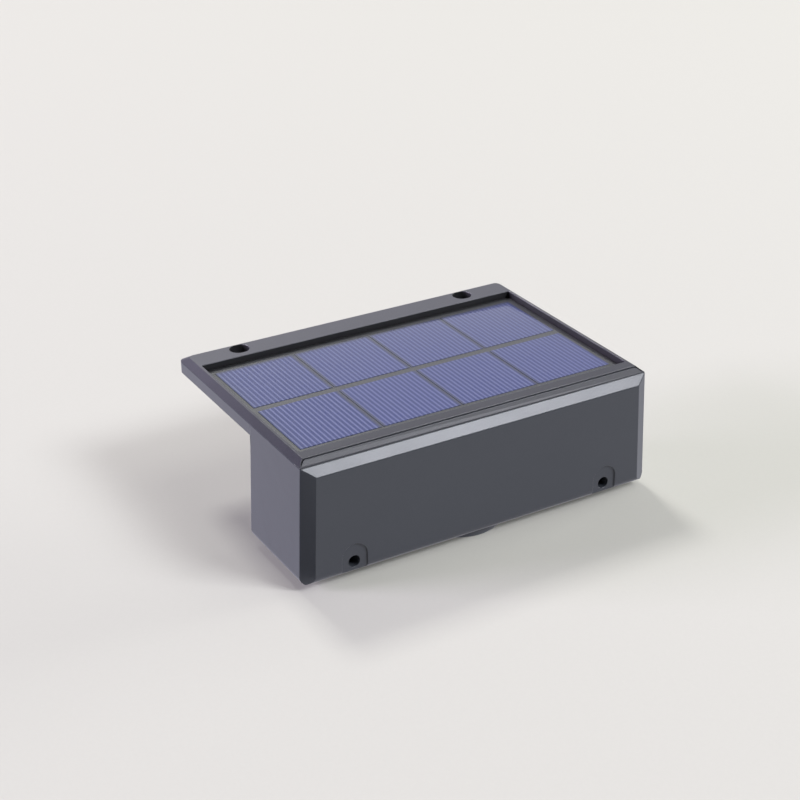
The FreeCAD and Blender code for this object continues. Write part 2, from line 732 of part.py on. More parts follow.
def lens_ring():
    """Ring under the box with a neck through the floor and snap lugs above it."""
    body = new_body("lens_ring")
    neck_top = "ring_neck_height - box_drop"
    section = [("ring_window", "0 - ring_low"), ("ring_radius", "0 - ring_low"),
               ("ring_radius", "0 - box_drop"), ("ring_neck_radius", "0 - box_drop"),
               ("ring_neck_radius", neck_top), ("ring_neck_bore", neck_top),
               ("ring_neck_bore", "0 - lens_low"), ("ring_window", "0 - lens_low")]
    spin(body, "Revolution", "ring_section", section, "0 - lens_inset")
    low = size("ring_low")
    wide = size("ring_radius")
    centre = FreeCAD.Vector(0, -size("lens_inset"), 0)

    def at_rim(point):
        flat = FreeCAD.Vector(point.x, point.y, 0)
        return near(point.z, -low) and near((flat - centre).Length, wide)

    round_edges(body, "soft_rim", at_rim, "ring_drop / 2")
    snap_low = "0 - floor_top + fit_gap"
    middle = "0 - lens_inset"
    inner = "(ring_neck_bore + ring_neck_radius) / 2"
    outer = "ring_neck_radius + snap_reach"
    add_slab(body, "snap_front",
             rectangle("0 - snap_half", "snap_half", "%s - (%s)" % (middle, outer),
                       "%s - %s" % (middle, inner)), snap_low, snap_low + " + snap_height - fit_gap")
    add_slab(body, "snap_rear",
             rectangle("0 - snap_half", "snap_half", "%s + %s" % (middle, inner),
                       "%s + %s" % (middle, outer)), snap_low, snap_low + " + snap_height - fit_gap")
    return body


DOME_STEPS = 6


def lens():
    """Frosted window: a flange in the ring and a shallow dome below it."""
    body = new_body("lens")
    flange_low = "0 - lens_low"
    radius = "(ring_neck_bore - slot_gap)"
    dome = "(ring_window - fit_gap)"
    section = []
    for step in range(1, DOME_STEPS + 1):
        angle = math.pi / 2 * step / DOME_STEPS
        out = "%s * %.5f" % (dome, math.sin(angle))
        down = "%s - lens_dome * %.5f" % (flange_low, math.cos(angle))
        section.append((out, down))
    section.insert(0, ("0", section[0][1]))
    section.extend([(radius, flange_low), (radius, flange_low + " + lens_thickness"),
                    ("0", flange_low + " + lens_thickness")])
    spin(body, "Revolution", "lens_section", section, "0 - lens_inset")
    return body


def lens_gasket():
    body = new_body("lens_gasket")
    lens_y = "0 - lens_inset"
    add_rounds(body, "gasket", [("0", lens_y, "gasket_outer"), ("0", lens_y, "gasket_inner")],
               "0 - box_drop", "0 - box_drop + gasket_height")
    return body


def led_board():
    body = new_body("led_board")
    lens_y = "0 - lens_inset"
    plan = rectangle("0 - led_board_length / 2", "led_board_length / 2", lens_y + " - led_board_depth / 2",
                     lens_y + " + led_board_depth / 2")
    add_slab(body, "board", plan, "0 - led_board_low", "0 - led_board_top")
    spots = [(sign + "led_boss_spacing / 2", lens_y, "small_shank_radius") for sign in ("", "0 - ")]
    cut_rounds(body, "screw_holes", spots, "0 - led_board_low", "0 - led_board_top")
    return body


def leds():
    boxes = []
    for column, across in enumerate(("led_pitch_x / 2", "0 - led_pitch_x / 2")):
        for row, back in enumerate(("0 - lens_inset - led_pitch_y / 2", "0 - lens_inset + led_pitch_y / 2")):
            low = (across + " - led_length / 2", back + " - led_depth / 2", "0 - led_board_low - led_height")
            high = (across + " + led_length / 2", back + " + led_depth / 2", "0 - led_board_low")
            boxes.append(box_between("led_%d_%d" % (column, row), low, high))
    return group("leds", boxes)


def small_screws(name, spots, seat):
    """Pan-head screws with their heads on a seat and their shanks pointing down."""
    screws = []
    for number, (x, y) in enumerate(spots):
        head = round_bar("%s_head_%d" % (name, number), (x, y, seat), "small_head_radius",
                         "small_head_height")
        shank = round_bar("%s_shank_%d" % (name, number), (x, y, seat + " - small_shank_length"),
                          "small_shank_radius", "small_shank_length + small_head_height / 2")
        screws.append(joined("%s_%d" % (name, number), [head, shank]))
    return group(name, screws)


def battery():
    body = new_body("battery")
    sketch = drawing(body, "can_outline", "YZ_Plane", "battery_start")
    draw_circle(sketch, "0 - battery_back", "0 - battery_up", "battery_radius")
    extrude(body, "Pad", "can", sketch, "battery_length")
    tip = drawing(body, "nub_outline", "YZ_Plane", "battery_start + battery_length - battery_nub_height")
    draw_circle(tip, "0 - battery_back", "0 - battery_up", "battery_nub_radius")
    extrude(body, "Pad", "nub", tip, "battery_nub_height * 2")
    return body


def battery_holder():
    """Open cradle with a screw foot at each end."""
    body = new_body("battery_holder")
    middle = "0 - battery_back"
    low = "0 - holder_low"
    half = "(holder_inner_half + holder_wall)"
    floor = rectangle("0 - " + half, half, middle + " - holder_half_depth", middle + " + holder_half_depth")
    add_slab(body, "cradle", floor, low, "0 - battery_up + contact_height / 2")
    room = rectangle("0 - holder_inner_half", "holder_inner_half",
                     middle + " - holder_half_depth + holder_wall",
                     middle + " + holder_half_depth - holder_wall")
    cut_slab(body, "battery_room", [room], low + " + holder_wall", "0 - battery_up + contact_height / 2")
    ease = rectangle("0 - holder_inner_half + coil_length", "holder_inner_half - coil_length",
                     middle + " - holder_half_depth - fit_gap", middle + " + holder_half_depth + fit_gap")
    cut_slab(body, "low_sides", [ease], low + " + holder_side_height", "0 - battery_up + contact_height / 2")
    foot = rectangle("0 - %s - holder_foot" % half, half + " + holder_foot", middle + " - holder_foot_half",
                     middle + " + holder_foot_half")
    add_slab(body, "feet", foot, low, low + " + holder_wall")
    spots = [(sign + "holder_boss_x", middle, "small_shank_radius") for sign in ("", "0 - ")]
    cut_rounds(body, "foot_holes", spots, low, low + " + holder_wall")
    return body


def contact_plate(name, start):
    low = (start, "0 - battery_back - contact_half", "0 - battery_up - contact_height / 2")
    high = (start + " + contact_thickness", "0 - battery_back + contact_half",
            "0 - battery_up + contact_height / 2")
    return labelled(name, box_between(name, low, high))


def battery_spring():
    """Coil between the minus plate and the can, wound in code because no plain primitive fits."""
    radius = size("coil_radius")
    wire_radius = size("coil_wire_radius")
    pitch = (size("coil_length") - 2 * wire_radius) / size("coil_turns")
    helix = Part.makeHelix(pitch, pitch * size("coil_turns"), radius)
    start = FreeCAD.Vector(radius, 0, 0)
    along = FreeCAD.Vector(0, 2 * math.pi * radius, pitch)
    profile = Part.Wire([Part.Circle(start, along, wire_radius).toShape()])
    coil = Part.Wire(helix.Edges).makePipeShell([profile], True, True)
    spring = document.addObject("Part::Feature", "battery_spring")
    spring.Shape = coil
    spring.Label = "battery_spring"
    spring.Placement.Rotation = TURNS["x"]
    bind(spring, "Placement.Base.x", "contact_thickness + coil_wire_radius - holder_inner_half")
    bind(spring, "Placement.Base.y", "0 - battery_back")
    bind(spring, "Placement.Base.z", "0 - battery_up")
    return spring


def control_board():
    low = ("0 - control_half", "0 - control_front", "0 - control_high")
    high = ("control_half", "0 - control_back", "0 - control_low")
    return labelled("control_board", box_between("control_board", low, high))


def charge_chip():
    low = ("0 - chip_length / 2", "0 - control_front - chip_thickness", "0 - chip_down - chip_height / 2")
    high = ("chip_length / 2", "0 - control_front", "0 - chip_down + chip_height / 2")
    return labelled("charge_chip", box_between("charge_chip", low, high))


def inductor():
    bar = round_bar("inductor",
                    ("chip_length * socket_spread_share", "0 - control_front - inductor_height",
                     "0 - battery_up"), "inductor_radius", "inductor_height", "y")
    return labelled("inductor", bar)


def capacitor():
    bar = round_bar("capacitor",
                    ("0 - chip_length * socket_spread_share", "0 - control_front - capacitor_height",
                     "0 - battery_up"), "capacitor_radius", "capacitor_height", "y")
    return labelled("capacitor", bar)


SOCKET_SPOTS = [
    "holder_inner_half - contact_thickness / 2",
    "contact_thickness / 2 - holder_inner_half",
    "panel_socket_x",
]


def lead_sockets():
    boxes = []
    for number, x in enumerate(SOCKET_SPOTS):
        low = (x + " - socket_length / 2", "0 - control_front - socket_depth",
               "0 - socket_top - socket_height")
        high = (x + " + socket_length / 2", "0 - control_front", "0 - socket_top")
        boxes.append(box_between("socket_%d" % number, low, high))
    low = ("0 - led_lead_half_pitch - socket_length * end_socket_share", "0 - control_front - socket_depth",
           "0 - led_socket_low")
    high = ("led_lead_half_pitch + socket_length * end_socket_share", "0 - control_front",
            "0 - led_socket_low + socket_height / 2")
    boxes.append(box_between("socket_led", low, high))
    return group("lead_sockets", boxes)


def switch_body():
    low = ("switch_x - switch_side / 2", "0 - lens_inset - switch_side / 2", "0 - holder_low - switch_height")
    high = ("switch_x + switch_side / 2", "0 - lens_inset + switch_side / 2", "0 - holder_low")
    return labelled("switch_body", box_between("switch_body", low, high))


def switch_button():
    """Round push button in the floor; it slides up to press the switch above it."""
    body = new_body("switch_button")
    lens_y = "0 - lens_inset"
    add_rounds(body, "button_cap", [("switch_x", lens_y, "button_radius")], "0 - box_drop - button_proud",
               "0 - button_flange_low")
    flange_top = "0 - button_flange_low + button_flange"
    add_rounds(body, "button_flange_disc", [("switch_x", lens_y, "button_flange_radius")],
               "0 - button_flange_low", flange_top)
    add_rounds(body, "button_stem", [("switch_x", lens_y, "button_stem_radius")], flange_top,
               "0 - button_stem_top")
    return body


def lead_shape(points, radius, bend):
    """Round lead along straight runs joined by tangent arcs."""
    edges = []
    start = points[0]
    for index in range(1, len(points) - 1):
        corner = points[index]
        back = (points[index - 1] - corner).normalize()
        ahead = (points[index + 1] - corner).normalize()
        entry = corner + back * bend
        leave = corner + ahead * bend
        middle = corner + (back + ahead) * bend * (1 - 1 / math.sqrt(2))
        edges.append(Part.LineSegment(start, entry).toShape())
        edges.append(Part.Arc(entry, middle, leave).toShape())
        start = leave
    edges.append(Part.LineSegment(start, points[-1]).toShape())
    path = Part.Wire(edges)
    profile = Part.Wire([Part.Circle(points[0], points[1] - points[0], radius).toShape()])
    tube = path.makePipeShell([profile], True, False)
    expected = math.pi * radius * radius * path.Length
    if abs(tube.Volume - expected) > expected * size("volume_share"):
        raise RuntimeError("a lead's volume differs from its section times its length")
    return tube


def lead_pair(name, paths):
    """Two separate leads in one node; shaped in code because each is swept along its own path."""
    shapes = [lead_shape(points, size("lead_radius"), size("lead_bend")) for points in paths]
    feature = document.addObject("Part::Feature", name)
    feature.Shape = Part.Compound(shapes)
    feature.Label = name
    return feature


def panel_leads():
    """From the panel's underside through the cover, then level and down into their socket."""
    level = -size("lead_level")
    paths = []
    for side in (-1, 1):
        step = side * size("lead_half_pitch")
        back = step - size("lens_inset")
        from_x = size("panel_lead_x")
        to_x = size("panel_socket_x") - step
        socket_y = -size("socket_front")
        paths.append([FreeCAD.Vector(from_x, back, size("tape_top")), FreeCAD.Vector(from_x, back, level),
                      FreeCAD.Vector(to_x, back, level), FreeCAD.Vector(to_x, socket_y, level),
                      FreeCAD.Vector(to_x, socket_y, -size("socket_top"))])
    return lead_pair("panel_leads", paths)


def battery_leads():
    """From the top of each contact plate up and forward over the board into a socket."""
    paths = []
    reach = size("holder_inner_half") - size("contact_thickness") / 2
    top = size("contact_height") / 2 - size("battery_up")
    level = size("lead_radius") * 2 + size("fit_gap") - size("control_low")
    for side in (-1, 1):
        x = side * reach
        paths.append([FreeCAD.Vector(x, -size("battery_back"), top),
                      FreeCAD.Vector(x, -size("battery_back"), level),
                      FreeCAD.Vector(x, -size("socket_front"), level),
                      FreeCAD.Vector(x, -size("socket_front"), -size("socket_top"))])
    return lead_pair("battery_leads", paths)


def led_leads():
    """Straight up from the lamp board to the socket above it."""
    paths = []
    for side in (-1, 1):
        x = side * size("led_lead_half_pitch")
        y = -size("socket_front")
        paths.append([FreeCAD.Vector(x, y, -size("led_board_top")),
                      FreeCAD.Vector(x, y, -size("led_socket_low"))])
    return lead_pair("led_leads", paths)


def switch_leads():
    """From the front of the switch forward, up and into the back of the control board."""
    paths = []
    low = -(size("holder_low") + size("switch_height") * size("switch_lead_share"))
    high = -(size("battery_up") + size("chip_height") / 2)
    front = -(size("lens_inset") + size("switch_side") / 2)
    turn = (front - size("control_back")) / 2
    for side in (-1, 1):
        x = size("switch_x") + side * size("lead_half_pitch") * 2
        paths.append([FreeCAD.Vector(x, front, low), FreeCAD.Vector(x, turn, low),
                      FreeCAD.Vector(x, turn, high), FreeCAD.Vector(x, -size("control_back"), high)])
    return lead_pair("switch_leads", paths)


def solids_of(thing):
    return thing.Shape.Solids


def check_and_write(pieces):
    """Stops on any broken feature, then writes each piece to its own file."""
    for thing in document.Objects:
        if "Invalid" in thing.State or "Error" in thing.State:
            raise RuntimeError("%s did not rebuild: %s" % (thing.Name, thing.State))
    os.makedirs("parts", exist_ok=True)
    for thing in pieces:
        shape = thing.Shape
        if shape.isNull() or not shape.isValid() or not solids_of(thing):
            raise RuntimeError("%s has no sound shape" % thing.Label)
        shape.exportStep("parts/%s.step" % thing.Label)
        print(thing.Label, len(solids_of(thing)), "solids", round(shape.Volume, 2), "cubic mm")


def main():
    fill_sheet()
    lens_y = "0 - lens_inset"
    pieces = [lower_housing(), top_cover(), seal(), cover_screws(), panel_board(), solar_cells(),
              panel_cover(), panel_adhesive(), lens_ring(), lens(), lens_gasket(), led_board(), leds()]
    led_spots = [(sign + "led_boss_spacing / 2", lens_y) for sign in ("", "0 - ")]
    pieces.append(small_screws("led_screws", led_spots, "0 - led_board_top"))
    holder_spots = [(sign + "holder_boss_x", "0 - battery_back") for sign in ("", "0 - ")]
    pieces.append(small_screws("holder_screws", holder_spots, "0 - holder_low + holder_wall"))
    pieces.extend([battery(), battery_holder()])
    pieces.append(contact_plate("battery_plus_contact", "holder_inner_half - contact_thickness"))
    pieces.append(contact_plate("battery_minus_contact", "0 - holder_inner_half"))
    pieces.extend([battery_spring(), control_board(), charge_chip(), inductor(), capacitor(),
                   lead_sockets(), switch_body(), switch_button(), panel_leads(), battery_leads(),
                   led_leads(), switch_leads()])
    document.recompute()
    check_and_write(pieces)


main()
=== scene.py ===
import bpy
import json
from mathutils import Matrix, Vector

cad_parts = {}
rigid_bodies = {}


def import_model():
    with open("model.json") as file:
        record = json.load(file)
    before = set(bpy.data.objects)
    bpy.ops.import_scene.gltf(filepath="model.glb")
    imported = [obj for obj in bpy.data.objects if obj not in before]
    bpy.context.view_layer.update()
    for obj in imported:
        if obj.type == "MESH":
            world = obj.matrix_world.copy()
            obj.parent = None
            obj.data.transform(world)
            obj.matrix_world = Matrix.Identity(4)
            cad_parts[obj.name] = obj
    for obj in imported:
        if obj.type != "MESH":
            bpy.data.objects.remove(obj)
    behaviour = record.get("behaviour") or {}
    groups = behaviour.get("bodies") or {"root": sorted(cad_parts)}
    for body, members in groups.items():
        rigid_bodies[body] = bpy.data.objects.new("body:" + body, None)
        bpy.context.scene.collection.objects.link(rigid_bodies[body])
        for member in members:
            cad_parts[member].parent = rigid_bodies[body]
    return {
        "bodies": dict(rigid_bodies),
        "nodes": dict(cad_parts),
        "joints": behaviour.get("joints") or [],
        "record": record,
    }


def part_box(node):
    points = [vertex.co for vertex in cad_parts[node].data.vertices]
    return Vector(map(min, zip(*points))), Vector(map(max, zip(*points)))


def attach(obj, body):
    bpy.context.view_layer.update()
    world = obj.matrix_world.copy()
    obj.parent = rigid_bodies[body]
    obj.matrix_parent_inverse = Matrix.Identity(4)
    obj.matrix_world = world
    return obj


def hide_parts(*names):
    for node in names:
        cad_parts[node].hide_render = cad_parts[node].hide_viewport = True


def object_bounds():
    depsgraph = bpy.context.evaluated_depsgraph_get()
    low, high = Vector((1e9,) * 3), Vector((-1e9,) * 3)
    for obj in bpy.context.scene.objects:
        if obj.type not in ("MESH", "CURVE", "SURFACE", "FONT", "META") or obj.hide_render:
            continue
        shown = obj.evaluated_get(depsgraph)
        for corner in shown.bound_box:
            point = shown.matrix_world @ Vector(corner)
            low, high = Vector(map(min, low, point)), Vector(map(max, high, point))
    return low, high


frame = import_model()
cadBox = [list(corner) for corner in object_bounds()]

import json
import math

import bmesh
import bpy
import numpy as np
from mathutils import Vector

mm = 0.001
nodes = frame["nodes"]
scene = bpy.context.scene


def nodeBox(name):
    # Lowest and highest corner of a CAD node, as arrays in metres.
    low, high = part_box(name)
    return np.array(low), np.array(high)


def plainBox(name):
    # The same two corners as lists of plain numbers, for use in materials.
    return [corner.tolist() for corner in nodeBox(name)]


# Surfaces: every new piece is one or more grids of points, joined into one mesh

def gridFaces(rows, columns):
    # Quads (i, j), (i, j+1), (i+1, j+1), (i+1, j) between neighbours; the last column meets the first.
    i, j = np.meshgrid(np.arange(rows - 1), np.arange(columns), indexing="ij")
    i, j = i.ravel(), j.ravel()
    right = (j + 1) % columns
    return np.stack([i * columns + j, i * columns + right, (i + 1) * columns + right,
                     (i + 1) * columns + j], axis=1)


def finishMesh(mesh, sharpAngle):
    # Merges the points that lie on each other, turns the faces outward and keeps sharp edges sharp.
    work = bmesh.new()
    work.from_mesh(mesh)
    bmesh.ops.remove_doubles(work, verts=work.verts, dist=1e-7)
    bmesh.ops.dissolve_degenerate(work, edges=work.edges, dist=1e-8)
    bmesh.ops.recalc_face_normals(work, faces=work.faces)
    work.to_mesh(mesh)
    work.free()
    mesh.shade_smooth()
    mesh.set_sharp_from_angle(angle=math.radians(sharpAngle))


def addPiece(name, grids, body, finish, standsFor=(), sharpAngle=35):
    # One object from grids of shape (rows, columns, 3) whose columns close on themselves.
    points = np.concatenate([grid.reshape(-1, 3) for grid in grids])
    starts = np.cumsum([0] + [grid.shape[0] * grid.shape[1] for grid in grids[:-1]])
    faces = np.concatenate([gridFaces(*grid.shape[:2]) + start for grid, start in zip(grids, starts)])
    mesh = bpy.data.meshes.new(name)
    mesh.from_pydata(points.tolist(), [], faces.tolist())
    finishMesh(mesh, sharpAngle)
    mesh.materials.append(finish)
    piece = bpy.data.objects.new(name, mesh)
    scene.collection.objects.link(piece)
    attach(piece, body)
    if standsFor:
        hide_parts(*standsFor)
    return piece


def softOutline(corners, radius, steps=5, closed=False):
    # Each corner P becomes the curve (1-s)^2 (P + tU) + 2s(1-s) P + s^2 (P + tV), with U and V the
    # directions to its neighbours.
    points = np.array(corners, float)
    before = np.roll(points, 1, axis=0) - points
    after = np.roll(points, -1, axis=0) - points
    longBefore = np.linalg.norm(before, axis=1, keepdims=True)
    longAfter = np.linalg.norm(after, axis=1, keepdims=True)
    reach = np.broadcast_to(np.reshape(radius, (-1, 1)), (len(points), 1))
    trim = np.minimum(reach, 0.49 * np.minimum(longBefore, longAfter))
    if not closed:
        trim = trim * np.array([0.0] + [1.0] * (len(points) - 2) + [0.0])[:, None]
    start = points + before / np.maximum(longBefore, 1e-12) * trim
    end = points + after / np.maximum(longAfter, 1e-12) * trim
    s = np.linspace(0, 1, steps)[None, :, None]
    curve = (1 - s) ** 2 * start[:, None] + 2 * s * (1 - s) * points[:, None] + s ** 2 * end[:, None]
    return curve.reshape(-1, curve.shape[-1])


def spun(profile, centre, turns=96, axis="z"):
    # Profile (radius, along) turned about an axis through the centre: (r cos a, r sin a, along).
    angle = np.linspace(0, 2 * math.pi, turns, endpoint=False)[None, :]
    radius, along = profile[:, :1], profile[:, 1:]
    across, up = radius * np.cos(angle), radius * np.sin(angle)
    along = along + 0 * angle
    order = {"z": (across, up, along), "x": (along, across, up), "y": (up, along, across)}[axis]
    return np.stack(order, axis=-1) + np.array(centre)


def softBox(low, high, radius, steps=4):
    # A box grown from a smaller one by a ball: point = centre + sign(n) (half - radius) + n radius, with
    # n the ball's directions.
    low, high = np.array(low, float), np.array(high, float)
    half, centre = (high - low) / 2, (high + low) / 2
    radius = min(radius, 0.98 * half.min())
    quarter = np.linspace(0, math.pi / 2, steps)
    around = np.concatenate([quarter + turn * math.pi / 2 for turn in range(4)])
    signX = np.repeat([1, -1, -1, 1], steps)
    signY = np.repeat([1, 1, -1, -1], steps)
    rise = np.concatenate([quarter - math.pi / 2, quarter])
    signZ = np.repeat([-1, 1], steps)
    n = np.stack([np.cos(rise)[:, None] * np.cos(around), np.cos(rise)[:, None] * np.sin(around),
                  np.sin(rise)[:, None] + 0 * around], axis=-1)
    signs = np.stack([signX + 0 * rise[:, None], signY + 0 * rise[:, None], signZ[:, None] + 0 * around],
                     axis=-1)
    shell = centre + signs * (half - radius) + n * radius
    bottom = np.broadcast_to(centre - [0, 0, half[2]], shell[:1].shape)
    top = np.broadcast_to(centre + [0, 0, half[2]], shell[:1].shape)
    return np.concatenate([bottom, shell, top])


def softBlock(middle, sizes, radius, steps=4):
    # A soft box round its middle.
    middle, half = np.array(middle), np.array(sizes) / 2
    return softBox(middle - half, middle + half, radius, steps)


def tube(path, radius, sides=12, hint=(0, 0, 1)):
    # A circle carried along a path: path + radius (cos a N + sin a B), with N and B square to the path.
    # Both ends are closed.
    path = np.array(path, float)
    along = np.gradient(path, axis=0)
    along /= np.linalg.norm(along, axis=1, keepdims=True)
    side = np.cross(along, np.array(hint, float))
    side /= np.linalg.norm(side, axis=1, keepdims=True)
    up = np.cross(side, along)
    angle = np.linspace(0, 2 * math.pi, sides, endpoint=False)
    ring = np.cos(angle)[None, :, None] * side[:, None] + np.sin(angle)[None, :, None] * up[:, None]
    body = path[:, None] + radius * ring
    first = np.broadcast_to(path[0], body[:1].shape)
    last = np.broadcast_to(path[-1], body[:1].shape)
    return np.concatenate([first, body, last])


def smoothStep(value, low, high):
    # 0 below low, 1 above high, 3t^2 - 2t^3 between.
    t = np.clip((value - low) / (high - low), 0, 1)
    return t * t * (3 - 2 * t)


flat = {"near": 2e-6, "leastFace": 1e-8, "noFace": 1e-12, "parallel": 0.999, "largeFlat": 1e-6, "beside": 0.8}


def flatGroups(work):
    # Faces that lie in one plane and touch, found by walking over shared edges; flipped faces count too.
    work.faces.index_update()
    waiting = set(work.faces)
    groups = []
    for seed in sorted(work.faces, key=lambda face: (-face.calc_area(), face.index)):
        if seed not in waiting or seed.calc_area() < flat["leastFace"]:
            continue
        waiting.discard(seed)
        origin, direction = seed.verts[0].co.copy(), seed.normal.copy()
        group, front = [seed], [seed]
        while front:
            face = front.pop()
            for other in (other for edge in face.edges for other in edge.link_faces):
                if other not in waiting:
                    continue
                if max(abs((vert.co - origin).dot(direction)) for vert in other.verts) > flat["near"]:
                    continue
                if other.calc_area() > flat["noFace"] and abs(other.normal.dot(direction)) < flat["parallel"]:
                    continue
                waiting.discard(other)
                group.append(other)
                front.append(other)
        groups.append(group)
    return groups


def refillFlats(work):
    # Where rounding folded thin triangles over, the flat's faces are laid again from its outline and holes.
    groups = flatGroups(work)
    work.edges.index_update()
    for group in groups:
        area = Vector((0, 0, 0))
        for face in group:
            area += face.normal * face.calc_area()
        if all(face.normal.dot(area) > 0 or face.calc_area() < flat["noFace"] for face in group):
            continue
        members = set(group)
        edges = sorted({edge for face in group for edge in face.edges}, key=lambda edge: edge.index)
        outline = [edge for edge in edges if sum(face in members for face in edge.link_faces) == 1]
        bmesh.ops.delete(work, geom=group, context="FACES_KEEP_BOUNDARY")
        made = bmesh.ops.triangle_fill(work, use_beauty=True, use_dissolve=False, edges=outline,
                                       normal=area.normalized())
        for face in made["geom"]:
            if isinstance(face, bmesh.types.BMFace):
                face.smooth = True
                face.normal_update()
                if face.normal.dot(area) < 0:
                    face.normal_flip()
    flaps = [face for face in work.faces if {1, 3} <= {len(edge.link_faces) for edge in face.edges}]
    bmesh.ops.delete(work, geom=flaps, context="FACES")


def evenNormals(mesh, work):
    # A flat's corners all take the flat's direction, and a rounded edge starts in that direction.
    directions, flatOf, besideFlats = [], {}, {}
    for group in flatGroups(work):
        if sum(face.calc_area() for face in group) < flat["largeFlat"]:
            continue
        directions.append(group[0].normal.copy())
        for face in group:
            flatOf[face.index] = len(directions) - 1
            for vert in face.verts:
                besideFlats.setdefault(vert.index, set()).add(len(directions) - 1)
    normals = [corner.vector.copy() for corner in mesh.corner_normals]
    for face in mesh.polygons:
        for loop, vert in zip(face.loop_indices, face.vertices):
            beside = besideFlats.get(vert, ())
            if face.index in flatOf:
                normals[loop] = directions[flatOf[face.index]]
            else:
                fitting = [directions[number] for number in beside
                           if directions[number].dot(face.normal) > flat["beside"]]
                if len(fitting) == 1:
                    normals[loop] = fitting[0]
    mesh.normals_split_custom_set(normals)


def shellFromNode(name, node, rounding, body, finish, sharpAngle=28, steps=3, leave=None):
    # The node's own triangles with shared corners merged and the sharp edges rounded, but for short
    # shallow edges and those whose middle the function leave picks.
    work = bmesh.new()
    work.from_mesh(nodes[node].data)
    bmesh.ops.remove_doubles(work, verts=work.verts, dist=2e-6)
    bmesh.ops.dissolve_degenerate(work, edges=work.edges, dist=1e-6)
    weight = work.edges.layers.float.new("bevel_weight_edge")
    for edge in work.edges:
        turn = math.degrees(edge.calc_face_angle(0.0))
        wanted = turn > sharpAngle and (edge.calc_length() > 1.0 * mm or turn > 70)
        if wanted and leave:
            wanted = not leave((edge.verts[0].co + edge.verts[1].co) / 2)
        edge[weight] = 1.0 if wanted else 0.0
    mesh = bpy.data.meshes.new(name)
    work.to_mesh(mesh)
    work.free()
    for layer in [layer.name for layer in mesh.attributes if layer.name == "custom_normal"]:
        mesh.attributes.remove(mesh.attributes[layer])
    mesh.shade_smooth()
    mesh.set_sharp_from_angle(angle=math.radians(sharpAngle))
    mesh.materials.clear()
    mesh.materials.append(finish)
    piece = bpy.data.objects.new(name, mesh)
    scene.collection.objects.link(piece)
    if rounding > 0:
        bevel = piece.modifiers.new("rounding", "BEVEL")
        bevel.width = rounding
        bevel.segments = steps
        bevel.limit_method = "WEIGHT"
        bevel.use_clamp_overlap = False
        bevel.miter_outer = "MITER_ARC"
        bpy.context.view_layer.update()
        finished = bpy.data.meshes.new_from_object(piece.evaluated_get(bpy.context.evaluated_depsgraph_get()))
        piece.modifiers.clear()
        work = bmesh.new()
        work.from_mesh(finished)
        work.normal_update()
        refillFlats(work)
        work.normal_update()
        work.to_mesh(finished)
        work.faces.index_update()
        work.verts.index_update()
        evenNormals(finished, work)
        work.free()
        piece.data = finished
        finished.name = name
    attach(piece, body)
    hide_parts(node)
    return piece


# Materials: node graphs written as expressions

class Link:
    # One socket of a material; arithmetic on links adds the Math nodes that work it out.
    def __init__(self, finish, socket):
        self.finish = finish
        self.socket = socket

    def math(self, operation, first, second=0.0):
        return self.finish.node("ShaderNodeMath", {"operation": operation}, {0: first, 1: second})

    def __add__(self, other):
        return self.math("ADD", self, other)

    def __sub__(self, other):
        return self.math("SUBTRACT", self, other)

    def __rsub__(self, other):
        return self.math("SUBTRACT", other, self)

    def __mul__(self, other):
        return self.math("MULTIPLY", self, other)

    def __truediv__(self, other):
        return self.math("DIVIDE", self, other)

    def __mod__(self, other):
        return self.math("FLOORED_MODULO", self, other)

    def __pow__(self, other):
        return self.math("POWER", self, other)

    def __abs__(self):
        return self.math("ABSOLUTE", self)

    __radd__ = __add__
    __rmul__ = __mul__

    def floor(self):
        return self.math("FLOOR", self)

    def sine(self):
        return self.math("SINE", self)

    def smaller(self, other):
        return self.math("MINIMUM", self, other)

    def step(self, low, high):
        # 0 at low and 1 at high, smooth between.
        values = {"Value": self, "From Min": low, "From Max": high}
        return self.finish.node("ShaderNodeMapRange", {"interpolation_type": "SMOOTHSTEP"}, values)


